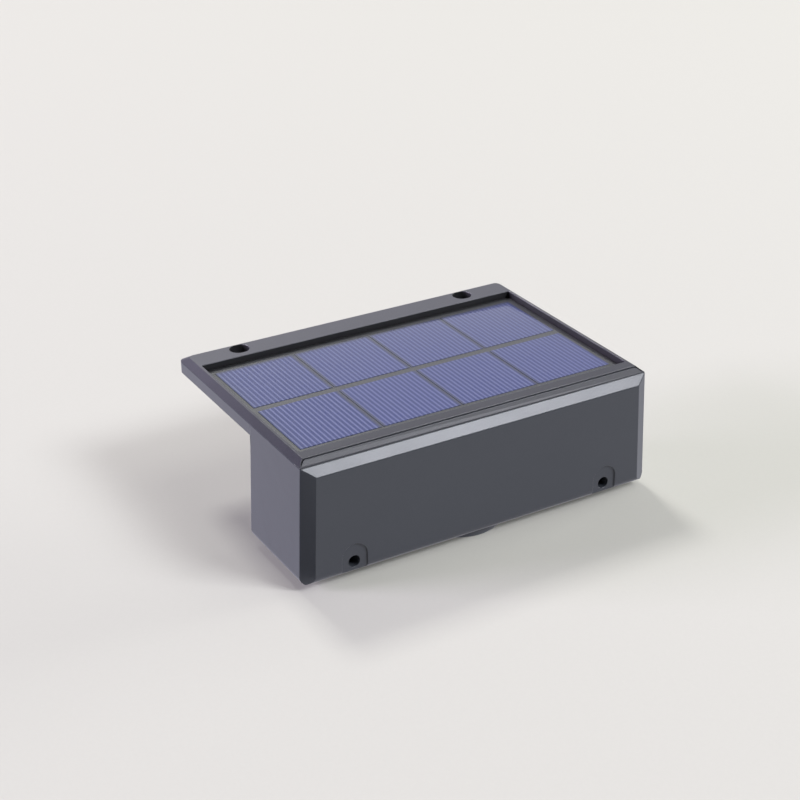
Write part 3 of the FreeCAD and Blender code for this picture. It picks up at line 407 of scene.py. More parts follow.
class Finish:
    # One node material, with short ways to its textures and its shader.
    def __init__(self, name):
        self.material = bpy.data.materials.new(name)
        self.material.use_nodes = True
        self.tree = self.material.node_tree
        self.tree.nodes.clear()
        self.output = self.tree.nodes.new("ShaderNodeOutputMaterial")

    def node(self, kind, settings, inputs, output=0):
        # Adds a node: its settings first, then its sockets' values or links; gives one output.
        node = self.tree.nodes.new(kind)
        for setting, value in settings.items():
            setattr(node, setting, value)
        for socket, value in inputs.items():
            if isinstance(value, Link):
                self.tree.links.new(value.socket, node.inputs[socket])
            else:
                node.inputs[socket].default_value = value
        return Link(self, node.outputs[output])

    def place(self):
        return self.node("ShaderNodeTexCoord", {}, {}, "Object")

    def axes(self):
        split = self.node("ShaderNodeSeparateXYZ", {}, {0: self.place()})
        return [Link(self, socket) for socket in split.socket.node.outputs]

    def facing(self):
        # The surface's own direction: x, y and z of its normal.
        normal = self.node("ShaderNodeNewGeometry", {}, {}, "Normal")
        split = self.node("ShaderNodeSeparateXYZ", {}, {0: normal})
        return [Link(self, socket) for socket in split.socket.node.outputs]

    def stretched(self, scale):
        return self.node("ShaderNodeVectorMath", {"operation": "MULTIPLY"}, {0: self.place(), 1: scale})

    def noise(self, size, detail=3.0, rough=0.5, where=None):
        # Smooth noise from 0 to 1 with lumps of the given size in metres.
        inputs = {"Vector": where or self.place(), "Scale": 1 / size, "Detail": detail, "Roughness": rough}
        return self.node("ShaderNodeTexNoise", {}, inputs)

    def cells(self, size, feature="F1"):
        # Distance to the nearest of many scattered points, or to the edge between two of them.
        return self.node("ShaderNodeTexVoronoi", {"feature": feature},
                         {"Vector": self.place(), "Scale": 1 / size})

    def mix(self, factor, first, second):
        # The first colour where the factor is 0, the second where it is 1; numbers name the sockets.
        colors = {0: factor, 6: first if isinstance(first, Link) else (*first, 1),
                  7: second if isinstance(second, Link) else (*second, 1)}
        return self.node("ShaderNodeMix", {"data_type": "RGBA"}, colors, 2)

    def bump(self, height, depth, under=None):
        inputs = {"Height": height, "Distance": depth, "Strength": 1.0}
        if under:
            inputs["Normal"] = under
        return self.node("ShaderNodeBump", {}, inputs)

    def plain(self, color, roughness, **more):
        # The standard shader; the words in more are its other sockets.
        names = {"metallic": "Metallic", "coat": "Coat Weight", "coatRoughness": "Coat Roughness",
                 "normal": "Normal", "ior": "IOR", "specular": "Specular IOR Level",
                 "scatter": "Subsurface Weight", "scatterSize": "Subsurface Scale"}
        inputs = {"Base Color": color if isinstance(color, Link) else (*color, 1), "Roughness": roughness}
        inputs.update({names[word]: value for word, value in more.items()})
        return self.node("ShaderNodeBsdfPrincipled", {}, inputs)

    def done(self, shader):
        self.tree.links.new(shader.socket, self.output.inputs["Surface"])
        return self.material


shellLook = {"dark": (0.043, 0.048, 0.057), "light": (0.064, 0.070, 0.081), "dust": (0.32, 0.30, 0.27),
             "grain": 0.34 * mm, "grainDepth": 0.008 * mm, "roughness": 0.25}
coverLook = {"dark": (0.030, 0.031, 0.039), "light": (0.104, 0.104, 0.118), "dust": (0.36, 0.34, 0.31),
             "grain": 0.42 * mm, "grainDepth": 0.018 * mm, "roughness": 0.29}
mouldLook = {"cloud": 14 * mm, "speck": 0.7 * mm, "sheenFront": -34 * mm, "sheenRear": 58 * mm,
             "dustSpeck": 0.9 * mm, "dustPatch": 9 * mm, "flow": 7 * mm, "flowDepth": 0.05 * mm}
# Painted shade for the walls of the well and the screw holes: its colour, and where it reaches.
recessShadeLook = {"color": (0.010, 0.010, 0.012), "below": 0.35 * mm, "beside": 0.8 * mm, "soft": 0.1 * mm,
             "holeReach": 4.35 * mm, "holeEnd": 23.0 * mm, "holeInset": 7.3 * mm}


def screwSpot():
    # Centre of a rear screw hole, measured from the cover's corner.
    high = plainBox("top_cover")[1]
    return high[0] - recessShadeLook["holeEnd"], high[1] - recessShadeLook["holeInset"]


def paintedRecessShade(finish):
    # 1 on the walls of the panel's well and of the two screw holes beside it, which are painted near-black
    # as painted shade: they lie below the rim's top, inside the well's outline or near a hole's centre.
    x, y, z = finish.axes()
    low, high = plainBox("panel_board")
    side, soft = recessShadeLook["beside"], recessShadeLook["soft"]
    across = 1 - abs(x).step(high[0] + side, high[0] + side + soft)
    reach = (high[1] - low[1]) / 2 + side
    along = abs(y - (low[1] + high[1]) / 2)
    well = across * (1 - along.step(reach, reach + soft))
    holeX, holeY = screwSpot()
    aside = abs(x) - holeX
    away = (aside * aside + (y - holeY) * (y - holeY)) ** 0.5
    hole = 1 - away.step(recessShadeLook["holeReach"], recessShadeLook["holeReach"] + soft)
    top = plainBox("top_cover")[1][2]
    below = 1 - z.step(top - recessShadeLook["below"], top - recessShadeLook["below"] * 0.6)
    return below * (well + hole - well * hole)


def shellFinish(name, look, paintsRecessShade=False):
    # Dark moulded ABS: fine spark grain, faint flow marks, roughness that wanders, a little dust on what
    # faces up, and paler towards the rear as a painted sheen. When asked, the walls of its well and screw
    # holes are painted near-black as painted shade.
    finish = Finish(name)
    cloud = finish.noise(mouldLook["cloud"], 3)
    speck = finish.noise(mouldLook["speck"], 2)
    # Painted sheen: the colour grows paler from the front towards the rear.
    paintedSheen = finish.axes()[1].step(mouldLook["sheenFront"], mouldLook["sheenRear"])
    color = finish.mix(cloud * 0.2 + speck * 0.3 + paintedSheen * 0.5, look["dark"], look["light"])
    dust = finish.noise(mouldLook["dustSpeck"], 2).step(0.70, 0.78) * finish.facing()[2].step(0.5, 0.95)
    dust = dust * finish.noise(mouldLook["dustPatch"], 2).step(0.45, 0.7)
    color = finish.mix(dust * 0.35, color, look["dust"])
    grain = finish.noise(look["grain"], 2, 0.6)
    flow = finish.noise(mouldLook["flow"], 2, 0.5, finish.stretched((0.35, 1, 1)))
    normal = finish.bump(flow, mouldLook["flowDepth"], finish.bump(grain, look["grainDepth"]))
    roughness = look["roughness"] + cloud * 0.06 + grain * 0.06 + dust * 0.3
    # Painted shade: the walls of the well and screw holes take the near-black colour and a rougher skin.
    if paintsRecessShade:
        paintedShade = paintedRecessShade(finish)
        color = finish.mix(paintedShade, color, recessShadeLook["color"])
        roughness = roughness + paintedShade * 0.3
    return finish.done(finish.plain(color, roughness, normal=normal, ior=1.5))


ringLook = {"dark": (0.058, 0.064, 0.073), "light": (0.078, 0.085, 0.095), "pitch": 0.35 * mm,
            "grain": 0.3 * mm, "patch": 6 * mm}


def ringFinish():
    # Black satin plastic, turned finely round its centre by the mould's own tool marks.
    finish = Finish("ringPlastic")
    x, y = finish.axes()[:2]
    low, high = plainBox("lens_ring")
    y = y - (low[1] + high[1]) / 2
    turned = ((x * x + y * y) ** 0.5 * (2 * math.pi / ringLook["pitch"])).sine()
    grain = finish.noise(ringLook["grain"], 2)
    color = finish.mix(finish.noise(ringLook["patch"], 3), ringLook["dark"], ringLook["light"])
    normal = finish.bump(turned, 0.002 * mm, finish.bump(grain, 0.008 * mm))
    return finish.done(finish.plain(color, 0.36 + grain * 0.1, normal=normal))


def rubberFinish(name, dark, light, roughness):
    # Soft rubber: matt, faintly mottled, with a fine skin.
    finish = Finish(name)
    skin = finish.noise(0.25 * mm, 3, 0.6)
    color = finish.mix(finish.noise(3 * mm, 3) * 0.7 + skin * 0.3, dark, light)
    normal = finish.bump(skin, 0.02 * mm)
    return finish.done(finish.plain(color, roughness + skin * 0.1, normal=normal, specular=0.35))


marginLook = {"dark": (0.060, 0.062, 0.066), "light": (0.088, 0.090, 0.096), "paintedShade": (0.012, 0.012, 0.014),
              "weave": 0.55 * mm, "paintedShadeFrom": 0.2 * mm, "paintedShadeTo": 2.0 * mm}


def boardMarginFinish():
    # Printed board behind the cells: grey-brown lacquer over a glass weave, darkened near the well's rear
    # wall by a painted shadow.
    finish = Finish("panelBoard")
    x, y = finish.axes()[:2]
    pitch = 2 * math.pi / marginLook["weave"]
    weave = (x * pitch).sine() * (y * pitch).sine() * 0.5 + 0.5
    spots = finish.noise(11 * mm, 3) * 0.6 + weave * 0.25 + finish.noise(0.4 * mm, 2) * 0.15
    color = finish.mix(spots, marginLook["dark"], marginLook["light"])
    # Painted shadow: the board darkens within 2 mm of its rear edge, under the well's rear wall.
    rear = plainBox("panel_board")[1][1] - y
    paintedShade = 1 - rear.step(marginLook["paintedShadeFrom"], marginLook["paintedShadeTo"])
    color = finish.mix(paintedShade, color, marginLook["paintedShade"])
    return finish.done(finish.plain(color, 0.45 + weave * 0.08, normal=finish.bump(weave, 0.004 * mm)))


cellLook = {"pitch": 34.05 * mm, "finger": 1.9 * mm, "fingerWide": 0.60 * mm, "edge": 1.9 * mm,
            "edgeCore": 0.9 * mm, "halfGap": 0.35 * mm, "rearShadowReach": 2.4 * mm, "crystal": 2.6 * mm,
            "blue": (0.027, 0.040, 0.176), "pale": (0.041, 0.055, 0.216), "silver": (0.160, 0.182, 0.376),
            "gapAndShadowColor": (0.048, 0.053, 0.088)}


def cellFinish():
    # Silicon cells: blue-violet coat with faint crystal grain, and thin silver fingers that run front to
    # back. Each cell has its own tint from its column and row, and a soft grey edge beside the next
    # column. The cells darken towards their rear edge: a painted shadow of the well's rear wall.
    finish = Finish("solarCells")
    x, y = finish.axes()[:2]
    low, high = plainBox("solar_cells")
    across = x - low[0]
    fromFinger = abs((across % cellLook["finger"]) - cellLook["finger"] / 2)
    finger = 1 - fromFinger.step(cellLook["fingerWide"] * 0.35, cellLook["fingerWide"] * 0.75)
    column = (across / cellLook["pitch"]).floor()
    row = (y / (10 * mm)).step(0.9, 1.1)
    own = ((column * 12.9898 + row * 78.233).sine() * 43.5453) % 1.0
    crystal = (finish.cells(cellLook["crystal"]) * 7.0) % 1.0
    cloud = finish.noise(20 * mm, 3)
    color = finish.mix(cloud * 0.45 + own * 0.35 + crystal * 0.12, cellLook["blue"], cellLook["pale"])
    color = finish.mix(finger * 0.85, color, cellLook["silver"])
    inCell = (across + cellLook["halfGap"]) % cellLook["pitch"]
    fromLine = cellLook["pitch"] / 2 - abs(inCell - cellLook["pitch"] / 2)
    nearLine = 1 - fromLine.step(cellLook["edgeCore"], cellLook["edge"])
    outer = (abs(x) - high[0] + cellLook["edge"] * 1.5).step(0.0, 0.05 * mm)
    fading = 0.9 - (across / (high[0] - low[0])) * 0.55
    color = finish.mix(nearLine * fading * (1 - outer), color, cellLook["gapAndShadowColor"])
    # Painted shadow: within a few millimetres of the rear edge the cells blend towards the grey edge colour.
    toRear = high[1] - y
    color = finish.mix((1 - toRear.step(0.0, cellLook["rearShadowReach"])) * 0.7, color, cellLook["gapAndShadowColor"])
    normal = finish.bump(finger, 0.015 * mm)
    return finish.done(finish.plain(color, 0.34 + finger * 0.12, normal=normal, coat=0.3, coatRoughness=0.1))


resinLook = {"clear": (0.97, 0.97, 0.965, 1), "shine": (1, 1, 1, 1), "roughness": 0.07, "wave": 9 * mm,
             "waveDepth": 0.02 * mm, "fine": 0.6 * mm, "fineDepth": 0.001 * mm}


def resinFinish():
    # Clear cast resin: see-through with a wavy gloss that grows towards a grazing look as 0.04 + 0.96
    # graze^5.
    finish = Finish("clearResin")
    fine = finish.bump(finish.noise(resinLook["fine"], 2), resinLook["fineDepth"])
    normal = finish.bump(finish.noise(resinLook["wave"], 2), resinLook["waveDepth"], fine)
    graze = finish.node("ShaderNodeLayerWeight", {}, {"Blend": 0.5}, "Facing")
    outside = 1 - finish.node("ShaderNodeNewGeometry", {}, {}, "Backfacing")
    clear = finish.node("ShaderNodeBsdfTransparent", {}, {"Color": resinLook["clear"]})
    gloss = {"Color": resinLook["shine"], "Roughness": resinLook["roughness"], "Normal": normal}
    shine = finish.node("ShaderNodeBsdfGlossy", {}, gloss)
    factor = (0.04 + 0.96 * graze ** 5.0) * outside
    return finish.done(finish.node("ShaderNodeMixShader", {}, {0: factor, 1: clear, 2: shine}))


lensLook = {"dark": (0.80, 0.81, 0.80), "light": (0.88, 0.88, 0.86), "scatterSize": 4 * mm}


def frostedFinish():
    # Frosted window: milky plastic that lets light through, with a fine sanded skin.
    finish = Finish("frostedLens")
    sand = finish.noise(0.18 * mm, 3, 0.65)
    color = finish.mix(finish.noise(4 * mm, 2), lensLook["dark"], lensLook["light"])
    return finish.done(finish.plain(color, 0.42 + sand * 0.12, normal=finish.bump(sand, 0.015 * mm),
                                    scatter=0.35, scatterSize=lensLook["scatterSize"], coat=0.15))


def metalFinish(name, dark, light, roughness, scale=0.25 * mm):
    # Plated steel: brushed lightly, duller in patches.
    finish = Finish(name)
    brush = finish.noise(scale, 3, 0.6, finish.stretched((1, 1, 0.25)))
    patch = finish.noise(2.5 * mm, 3)
    color = finish.mix(patch * 0.7 + brush * 0.3, dark, light)
    normal = finish.bump(brush, 0.004 * mm)
    return finish.done(finish.plain(color, roughness + patch * 0.15, metallic=1.0, normal=normal))


whiteLook = {"dark": (0.74, 0.75, 0.73), "light": (0.84, 0.84, 0.82), "bandMiddle": 6 * mm,
             "bandHalf": 4.6 * mm, "bandSoft": 0.3 * mm}


def whiteBoardFinish():
    # White solder mask with two copper pours showing faintly through it.
    finish = Finish("lampBoard")
    fromMiddle = abs(abs(finish.axes()[0]) - whiteLook["bandMiddle"])
    band = fromMiddle.step(whiteLook["bandHalf"], whiteLook["bandHalf"] + whiteLook["bandSoft"])
    cloud = finish.noise(5 * mm, 3)
    color = finish.mix(band * 0.6 + cloud * 0.4, whiteLook["dark"], whiteLook["light"])
    height = band * 0.5 + finish.noise(0.3 * mm, 2) * 0.2
    return finish.done(finish.plain(color, 0.38 + cloud * 0.08, normal=finish.bump(height, 0.02 * mm)))


greenLook = {"light": (0.020, 0.105, 0.045), "dark": (0.012, 0.062, 0.028), "pad": (0.62, 0.61, 0.58),
             "track": 2.8 * mm, "padEvery": 3.7 * mm, "weave": 0.6 * mm}


def greenBoardFinish():
    # Green mask over copper: a net of raised tracks and a few bare tinned pads.
    finish = Finish("greenBoard")
    x, _, z = finish.axes()
    track = finish.cells(greenLook["track"], "DISTANCE_TO_EDGE").step(0.05, 0.11)
    pad = 1 - finish.cells(greenLook["padEvery"]).step(0.16, 0.20)
    pitch = 2 * math.pi / greenLook["weave"]
    weave = (x * pitch).sine() * (z * pitch).sine() * 0.5 + 0.5
    color = finish.mix(track * 0.8 + weave * 0.2, greenLook["light"], greenLook["dark"])
    color = finish.mix(pad * 0.9, color, greenLook["pad"])
    normal = finish.bump(pad * 0.4 - track * 0.5, 0.03 * mm)
    return finish.done(finish.plain(color, 0.36 - pad * 0.1, metallic=pad * 0.8, normal=normal))


def chipFinish(name, dark, light, roughness=0.5, grain=0.12 * mm, depth=0.01 * mm):
    # Moulded resin or ceramic with a sandy skin.
    finish = Finish(name)
    sand = finish.noise(grain, 3, 0.65)
    color = finish.mix(sand * 0.5 + finish.noise(2 * mm, 2) * 0.5, dark, light)
    return finish.done(finish.plain(color, roughness + sand * 0.12, normal=finish.bump(sand, depth)))


sleeveLook = {"dark": (0.020, 0.145, 0.070), "light": (0.030, 0.185, 0.090), "band": (0.62, 0.62, 0.58),
              "bandWide": 9 * mm, "bandSoft": 0.15 * mm}


def sleeveFinish():
    # Shrunk film round the cell: green with a pale band near the plus end, drawn tight in faint rings.
    finish = Finish("batterySleeve")
    inBand = finish.axes()[0] - plainBox("battery")[1][0] + sleeveLook["bandWide"]
    band = inBand.step(-sleeveLook["bandSoft"], sleeveLook["bandSoft"])
    ripple = finish.noise(2.2 * mm, 3, 0.5, finish.stretched((0.4, 1, 1)))
    color = finish.mix(finish.noise(6 * mm, 3), sleeveLook["dark"], sleeveLook["light"])
    color = finish.mix(band, color, sleeveLook["band"])
    return finish.done(finish.plain(color, 0.24 + ripple * 0.12, normal=finish.bump(ripple, 0.03 * mm),
                                    coat=0.25))


foamLook = {"dark": (0.030, 0.030, 0.032), "light": (0.070, 0.070, 0.072), "pit": 0.28 * mm}


def foamFinish():
    # Closed-cell foam tape: dark, matt, pitted.
    finish = Finish("foamTape")
    pits = finish.cells(foamLook["pit"])
    color = finish.mix(pits, foamLook["dark"], foamLook["light"])
    return finish.done(finish.plain(color, 0.82 + pits * 0.1, normal=finish.bump(pits, 0.06 * mm),
                                    specular=0.2))


leadLook = {"front": (0.42, 0.018, 0.014), "rear": (0.016, 0.016, 0.018), "worn": (0.12, 0.10, 0.10)}


def leadFinish(name, split):
    # Two leads in one node: red past the split, black before it, with a slightly waxy skin.
    finish = Finish(name)
    side = (finish.axes()[0] - split).step(-0.02 * mm, 0.02 * mm)
    skin = finish.noise(0.3 * mm, 2)
    color = finish.mix(side, leadLook["rear"], leadLook["front"])
    color = finish.mix(skin * 0.25, color, leadLook["worn"])
    return finish.done(finish.plain(color, 0.38 + skin * 0.1, normal=finish.bump(skin, 0.01 * mm)))


floorLook = {"even": 0.12, "mirrored": 0.88, "evenColor": (0.823, 0.807, 0.761),
             "mirrorColor": (0.90, 0.89, 1.00), "dark": (0.560, 0.552, 0.498),
             "light": (0.582, 0.574, 0.518), "fibre": 1.2 * mm}


def floorFinish():
    # Pale paper: its own colour with a faint fibre, evened out where it is looked at or mirrored.
    finish = Finish("paleFloor")
    color = finish.mix(finish.noise(floorLook["fibre"], 3), floorLook["dark"], floorLook["light"])
    paper = finish.plain(color, 0.9, specular=0.1)
    path = finish.node("ShaderNodeLightPath", {}, {}, "Is Camera Ray")
    mirrored = Link(finish, path.socket.node.outputs["Is Glossy Ray"])
    glow = finish.mix(mirrored, floorLook["evenColor"], floorLook["mirrorColor"])
    even = finish.node("ShaderNodeEmission", {}, {"Color": glow, "Strength": 1.0})
    share = path * floorLook["even"] + mirrored * floorLook["mirrored"]
    return finish.done(finish.node("ShaderNodeMixShader", {}, {0: share.smaller(1.0), 1: paper, 2: even}))


finishes = {
    "shell": shellFinish("shellPlastic", shellLook),
    "coverShell": shellFinish("coverPlastic", coverLook, True),
    "ring": ringFinish(),
    "button": rubberFinish("buttonRubber", (0.020, 0.020, 0.022), (0.036, 0.036, 0.038), 0.55),
    "seal": rubberFinish("sealRubber", (0.016, 0.016, 0.017), (0.030, 0.030, 0.031), 0.62),
    "margin": boardMarginFinish(),
    "cells": cellFinish(),
    "resin": resinFinish(),
    "lens": frostedFinish(),
    "steel": metalFinish("platedSteel", (0.46, 0.46, 0.47), (0.68, 0.68, 0.69), 0.26),
    "lampBoard": whiteBoardFinish(),
    "greenBoard": greenBoardFinish(),
    "lampChip": chipFinish("lampChip", (0.78, 0.77, 0.72), (0.88, 0.87, 0.83), 0.4, 0.2 * mm, 0.004 * mm),
    "phosphor": chipFinish("phosphor", (0.80, 0.62, 0.10), (0.86, 0.72, 0.20), 0.35, 0.15 * mm, 0.006 * mm),
    "sleeve": sleeveFinish(),
    "chip": chipFinish("blackResin", (0.014, 0.014, 0.015), (0.030, 0.030, 0.031)),
    "ferrite": chipFinish("ferrite", (0.030, 0.029, 0.028), (0.062, 0.058, 0.054), 0.6, 0.2 * mm, 0.03 * mm),
    "copper": metalFinish("windingCopper", (0.60, 0.24, 0.11), (0.78, 0.36, 0.18), 0.28, 0.4 * mm),
    "can": metalFinish("capacitorCan", (0.58, 0.58, 0.59), (0.78, 0.78, 0.78), 0.22),
    "nylon": chipFinish("whiteNylon", (0.70, 0.69, 0.64), (0.80, 0.79, 0.75), 0.42, 0.3 * mm, 0.006 * mm),
    "inner": chipFinish("innerPlastic", (0.030, 0.030, 0.031), (0.052, 0.052, 0.053), 0.42, 0.35 * mm,
                        0.01 * mm),
    "foam": foamFinish(),
}
print("materials ready:", len(finishes))

# The two shells

shells = {"housingEdge": 0.26 * mm, "coverEdge": 0.28 * mm, "cornerX": 68 * mm, "cornerY": -37 * mm,
          "cornerZ": -37.5 * mm}


def lowCorner(middle):
    # The two lower front corners, where short curved edges meet.
    return abs(middle.x) > shells["cornerX"] and middle.y < shells["cornerY"] and middle.z < shells["cornerZ"]


housingShell = shellFromNode("housingShell", "lower_housing", shells["housingEdge"], "housing",
                             finishes["shell"], leave=lowCorner)
coverShell = shellFromNode("coverShell", "top_cover", shells["coverEdge"], "housing",
                           finishes["coverShell"])
print("shells ready:", len(housingShell.data.polygons), len(coverShell.data.polygons))


# The panel

panel = {"resinEdge": 0.30 * mm, "cellClearance": 0.03 * mm, "boardEdge": 0.10 * mm}


def resinSheet():
    # The cast resin from just over the cells to its own top, with a soft edge.
    low, high = nodeBox("panel_cover")
    low[2] = nodeBox("solar_cells")[1][2] + panel["cellClearance"]
    return softBox(low, high, panel["resinEdge"])


addPiece("resinSheet", [resinSheet()], "housing", finishes["resin"], ["panel_cover"])


# The lamp window: ring, lens and gasket

lamp = {"outer": 17.4 * mm, "shoulder": 2.6 * mm, "neck": 15.1 * mm, "bore": 13.9 * mm, "window": 12.6 * mm,
        "ease": 1.6 * mm, "easeHigh": 0.45 * mm, "soft": 0.55 * mm, "dome": 1.6 * mm, "seatGap": 0.05 * mm,
        "lugWide": 2.0 * mm, "lugOut": 1.1 * mm, "lugIn": 0.6 * mm, "lugHigh": 0.5 * mm, "lugSoft": 0.25 * mm,
        "groove": 1.5 * mm, "grooveDeep": 0.12 * mm, "lensSoft": 0.2 * mm, "sealWide": 1.0 * mm,
        "sealSoft": 0.28 * mm}


def lampCentre():
    # Centre of the lamp's axis, and the ring's lowest and highest level.
    low, high = nodeBox("lens_ring")
    return np.array([0.0, (low[1] + high[1]) / 2, 0.0]), low[2], high[2]


def lensRing():
    # Profile of the ring with rounded corners, turned about the lamp's axis.
    centre, bottom, top = lampCentre()
    floor = bottom + lamp["shoulder"]
    seat = nodeBox("lens")[0][2] + lamp["dome"] - lamp["seatGap"]
    corners = [(lamp["window"], bottom + lamp["easeHigh"]), (lamp["window"] + lamp["ease"], bottom),
               (lamp["outer"], bottom), (lamp["outer"], floor), (lamp["neck"], floor), (lamp["neck"], top),
               (lamp["bore"], top), (lamp["bore"], seat), (lamp["window"], seat)]
    softness = lamp["soft"] * np.array([0.6, 1.2, 1.3, 0.3, 0.2, 0.4, 0.4, 0.2, 0.4])
    outline = softOutline(corners, softness, 6, True)
    return spun(np.concatenate([outline, outline[:1]]), centre, 128)


def ringLugs():
    # Two snap lugs on the neck, front and back, each a soft block.
    centre, _, top = lampCentre()
    lugs = []
    for way in (-1, 1):
        near, far = sorted([way * (lamp["neck"] - lamp["lugIn"]), way * (lamp["neck"] + lamp["lugOut"])])
        low = [-lamp["lugWide"], centre[1] + near, top - lamp["lugHigh"]]
        high = [lamp["lugWide"], centre[1] + far, top]
        lugs.append(softBox(low, high, lamp["lugSoft"]))
    return lugs


def frostedLens():
    # Shallow dome: down = rise + dome cos(a), out = radius sin(a), with a soft flange above it; light
    # grooves circle it inside.
    low, high = nodeBox("lens")
    flangeLow = low[2] + lamp["dome"] - lamp["seatGap"]
    turn = np.linspace(0.02, math.pi / 2, 28)
    out = (lamp["window"] - 0.3 * mm) * np.sin(turn)
    dome = np.stack([out, flangeLow - lamp["dome"] * 0.96 * np.cos(turn)], axis=1)
    dome[0, 0] = 0
    edge = high[0] - lamp["seatGap"]
    flange = softOutline([dome[-1], (edge, flangeLow), (edge, high[2]), (lamp["window"], high[2])],
                         lamp["lensSoft"], 5)
    out = np.linspace(lamp["window"] - 0.4 * mm, 0, 64)
    wave = np.abs(np.sin(out * (math.pi / lamp["groove"])))
    grooves = np.stack([out, high[2] - lamp["grooveDeep"] * (1 - wave)], axis=1)
    return spun(np.concatenate([dome, flange, grooves]), lampCentre()[0], 128)


def sealRing():
    # A rounded band: its outline is a soft rectangle carried round the lamp's axis.
    low, high = nodeBox("lens_gasket")
    inner = high[0] - lamp["sealWide"]
    corners = [(inner, low[2]), (high[0], low[2]), (high[0], high[2]), (inner, high[2])]
    outline = softOutline(corners, lamp["sealSoft"], 7, True)
    return spun(np.concatenate([outline, outline[:1]]), lampCentre()[0], 128)


addPiece("lensRing", [lensRing()] + ringLugs(), "housing", finishes["ring"], ["lens_ring"])
addPiece("frostedLens", [frostedLens()], "housing", finishes["lens"], ["lens"])
addPiece("lensGasket", [sealRing()], "housing", finishes["seal"], ["lens_gasket"])

# The push button

button = {"capRadius": 4.0 * mm, "flangeDown": 1.7 * mm, "flange": 0.7 * mm, "stem": 1.6 * mm,
          "dish": 0.22 * mm, "soft": 0.55 * mm}


def pushButton():
    # Cap with a shallow dish, rise = dish (1 - (r / R)^2), a soft rim, the flange and the stem above it.
    low, high = nodeBox("switch_button")
    centre = np.array([(low[0] + high[0]) / 2, (low[1] + high[1]) / 2, 0.0])
    flangeRadius = (high[0] - low[0]) / 2
    flangeLow = high[2] - button["flangeDown"]
    flangeTop = flangeLow + button["flange"]
    reach = np.linspace(0, button["capRadius"] * 0.72, 14)
    dish = np.stack([reach, low[2] + button["dish"] * (1 - (reach / reach[-1]) ** 2)], axis=1)
    corners = [dish[-1], (button["capRadius"], low[2]), (button["capRadius"], flangeLow),
               (flangeRadius, flangeLow), (flangeRadius, flangeTop), (button["stem"], flangeTop),
               (button["stem"], high[2]), (0, high[2])]
    rest = softOutline(corners, button["soft"] * np.array([1, 1, 0.3, 0.3, 0.3, 0.3, 0.5, 1]), 6)
    return spun(np.concatenate([dish, rest]), centre, 72)


addPiece("pushButton", [pushButton()], "button", finishes["button"], ["switch_button"])
print("lamp window and button ready")

# Cross-head screws

screwLook = {"recessReach": 0.62, "recessHalf": 0.17, "recessDepth": 0.55, "crown": 0.22, "pitch": 0.9 * mm,
             "threadDepth": 0.13 * mm, "edge": 0.12 * mm}
screwSizes = {"cover": {"head": 1.44 * mm, "shank": 1.3 * mm}, "small": {"head": 1.4 * mm, "shank": 1.0 * mm}}


def screwHead(height, radius, angle):
    # Height field over polar rings: top = crown (1 - r^2.5) - depth * cross(x, y).
    share = np.concatenate([np.linspace(0, 0.80, 34), np.linspace(0.84, 0.985, 6)])[:, None]
    x, y = share * np.cos(angle), share * np.sin(angle)
    arm = np.minimum(np.abs(x), np.abs(y))
    half, reach = screwLook["recessHalf"], screwLook["recessReach"]
    cross = 1 - smoothStep(arm, half * 0.75, half * 1.15)
    cross = cross * (1 - smoothStep(share + 0 * angle, reach * 0.88, reach * 1.08))
    crown = height * (1 - screwLook["crown"] * share ** 2.5)
    top = crown - height * screwLook["recessDepth"] * cross * (1 - 0.35 * share)
    return np.stack([x * radius, y * radius, top], axis=-1)


def crossScrew(middle, headRadius, headBottom, headTop, shankRadius, shankEnd):
    # The head's top, its underside, and a threaded shank whose radius is R - d (0.5 + 0.5 cos(angle - 2
    # pi z / pitch)) down to a blunt point. The shank's end lies on the other side of the head's bottom.
    way = 1.0 if headTop > headBottom else -1.0
    height = abs(headTop - headBottom)
    angle = np.linspace(0, 2 * math.pi, 64, endpoint=False)[None, :]
    edgeTop = height * (1 - screwLook["crown"])
    edge = [(headRadius * 0.985, edgeTop), (headRadius, edgeTop * 0.9), (headRadius, 0.0), (shankRadius, 0.0)]
    rim = spun(softOutline(edge, screwLook["edge"], 4), (0, 0, 0), 64)
    long = abs(shankEnd - headBottom)
    down = np.linspace(0.02, 0.9, 40)[:, None] * long
    thread = screwLook["threadDepth"] * (0.5 + 0.5 * np.cos(angle - 2 * math.pi * down / screwLook["pitch"]))
    radius = shankRadius - thread * smoothStep(down, 0.05 * long, 0.2 * long)
    shank = np.stack([radius * np.cos(angle), radius * np.sin(angle), -down + 0 * angle], axis=-1)
    tip = spun(np.array([(shankRadius * 0.55, -long), (0.0, -long)]), (0, 0, 0), 64)
    whole = np.concatenate([screwHead(height, headRadius, angle), rim, shank, tip])
    whole[..., 2] = headBottom + way * whole[..., 2]
    whole[..., :2] += np.array(middle)
    return whole


def screwRow(name, node, count, kind, headUp):
    # Equal screws in a row along X that fills the node's box.
    low, high = nodeBox(node)
    headRadius = (high[1] - low[1]) / 2
    y = (low[1] + high[1]) / 2
    top, end = (high[2], low[2]) if headUp else (low[2], high[2])
    bottom = top - kind["head"] if headUp else top + kind["head"]
    grids = [crossScrew((x, y), headRadius, bottom, top, kind["shank"], end)
             for x in np.linspace(low[0] + headRadius, high[0] - headRadius, count)]
    addPiece(name, grids, "housing", finishes["steel"], [node], 40)


screwRow("coverScrews", "cover_screws", 3, screwSizes["cover"], False)
screwRow("lampScrews", "led_screws", 2, screwSizes["small"], True)
screwRow("holderScrews", "holder_screws", 2, screwSizes["small"], True)
print("screws ready")

# The cell and what holds it

battery = {"crimpIn": 3.2 * mm, "crimpHalf": 1.0 * mm, "crimpDeep": 0.55 * mm, "capRadius": 6.2 * mm,
           "capSunk": 0.4 * mm, "nubRadius": 2.8 * mm, "nubHigh": 0.7 * mm, "soft": 0.6 * mm,
           "capSoft": 0.25 * mm, "cradleEdge": 0.22 * mm}


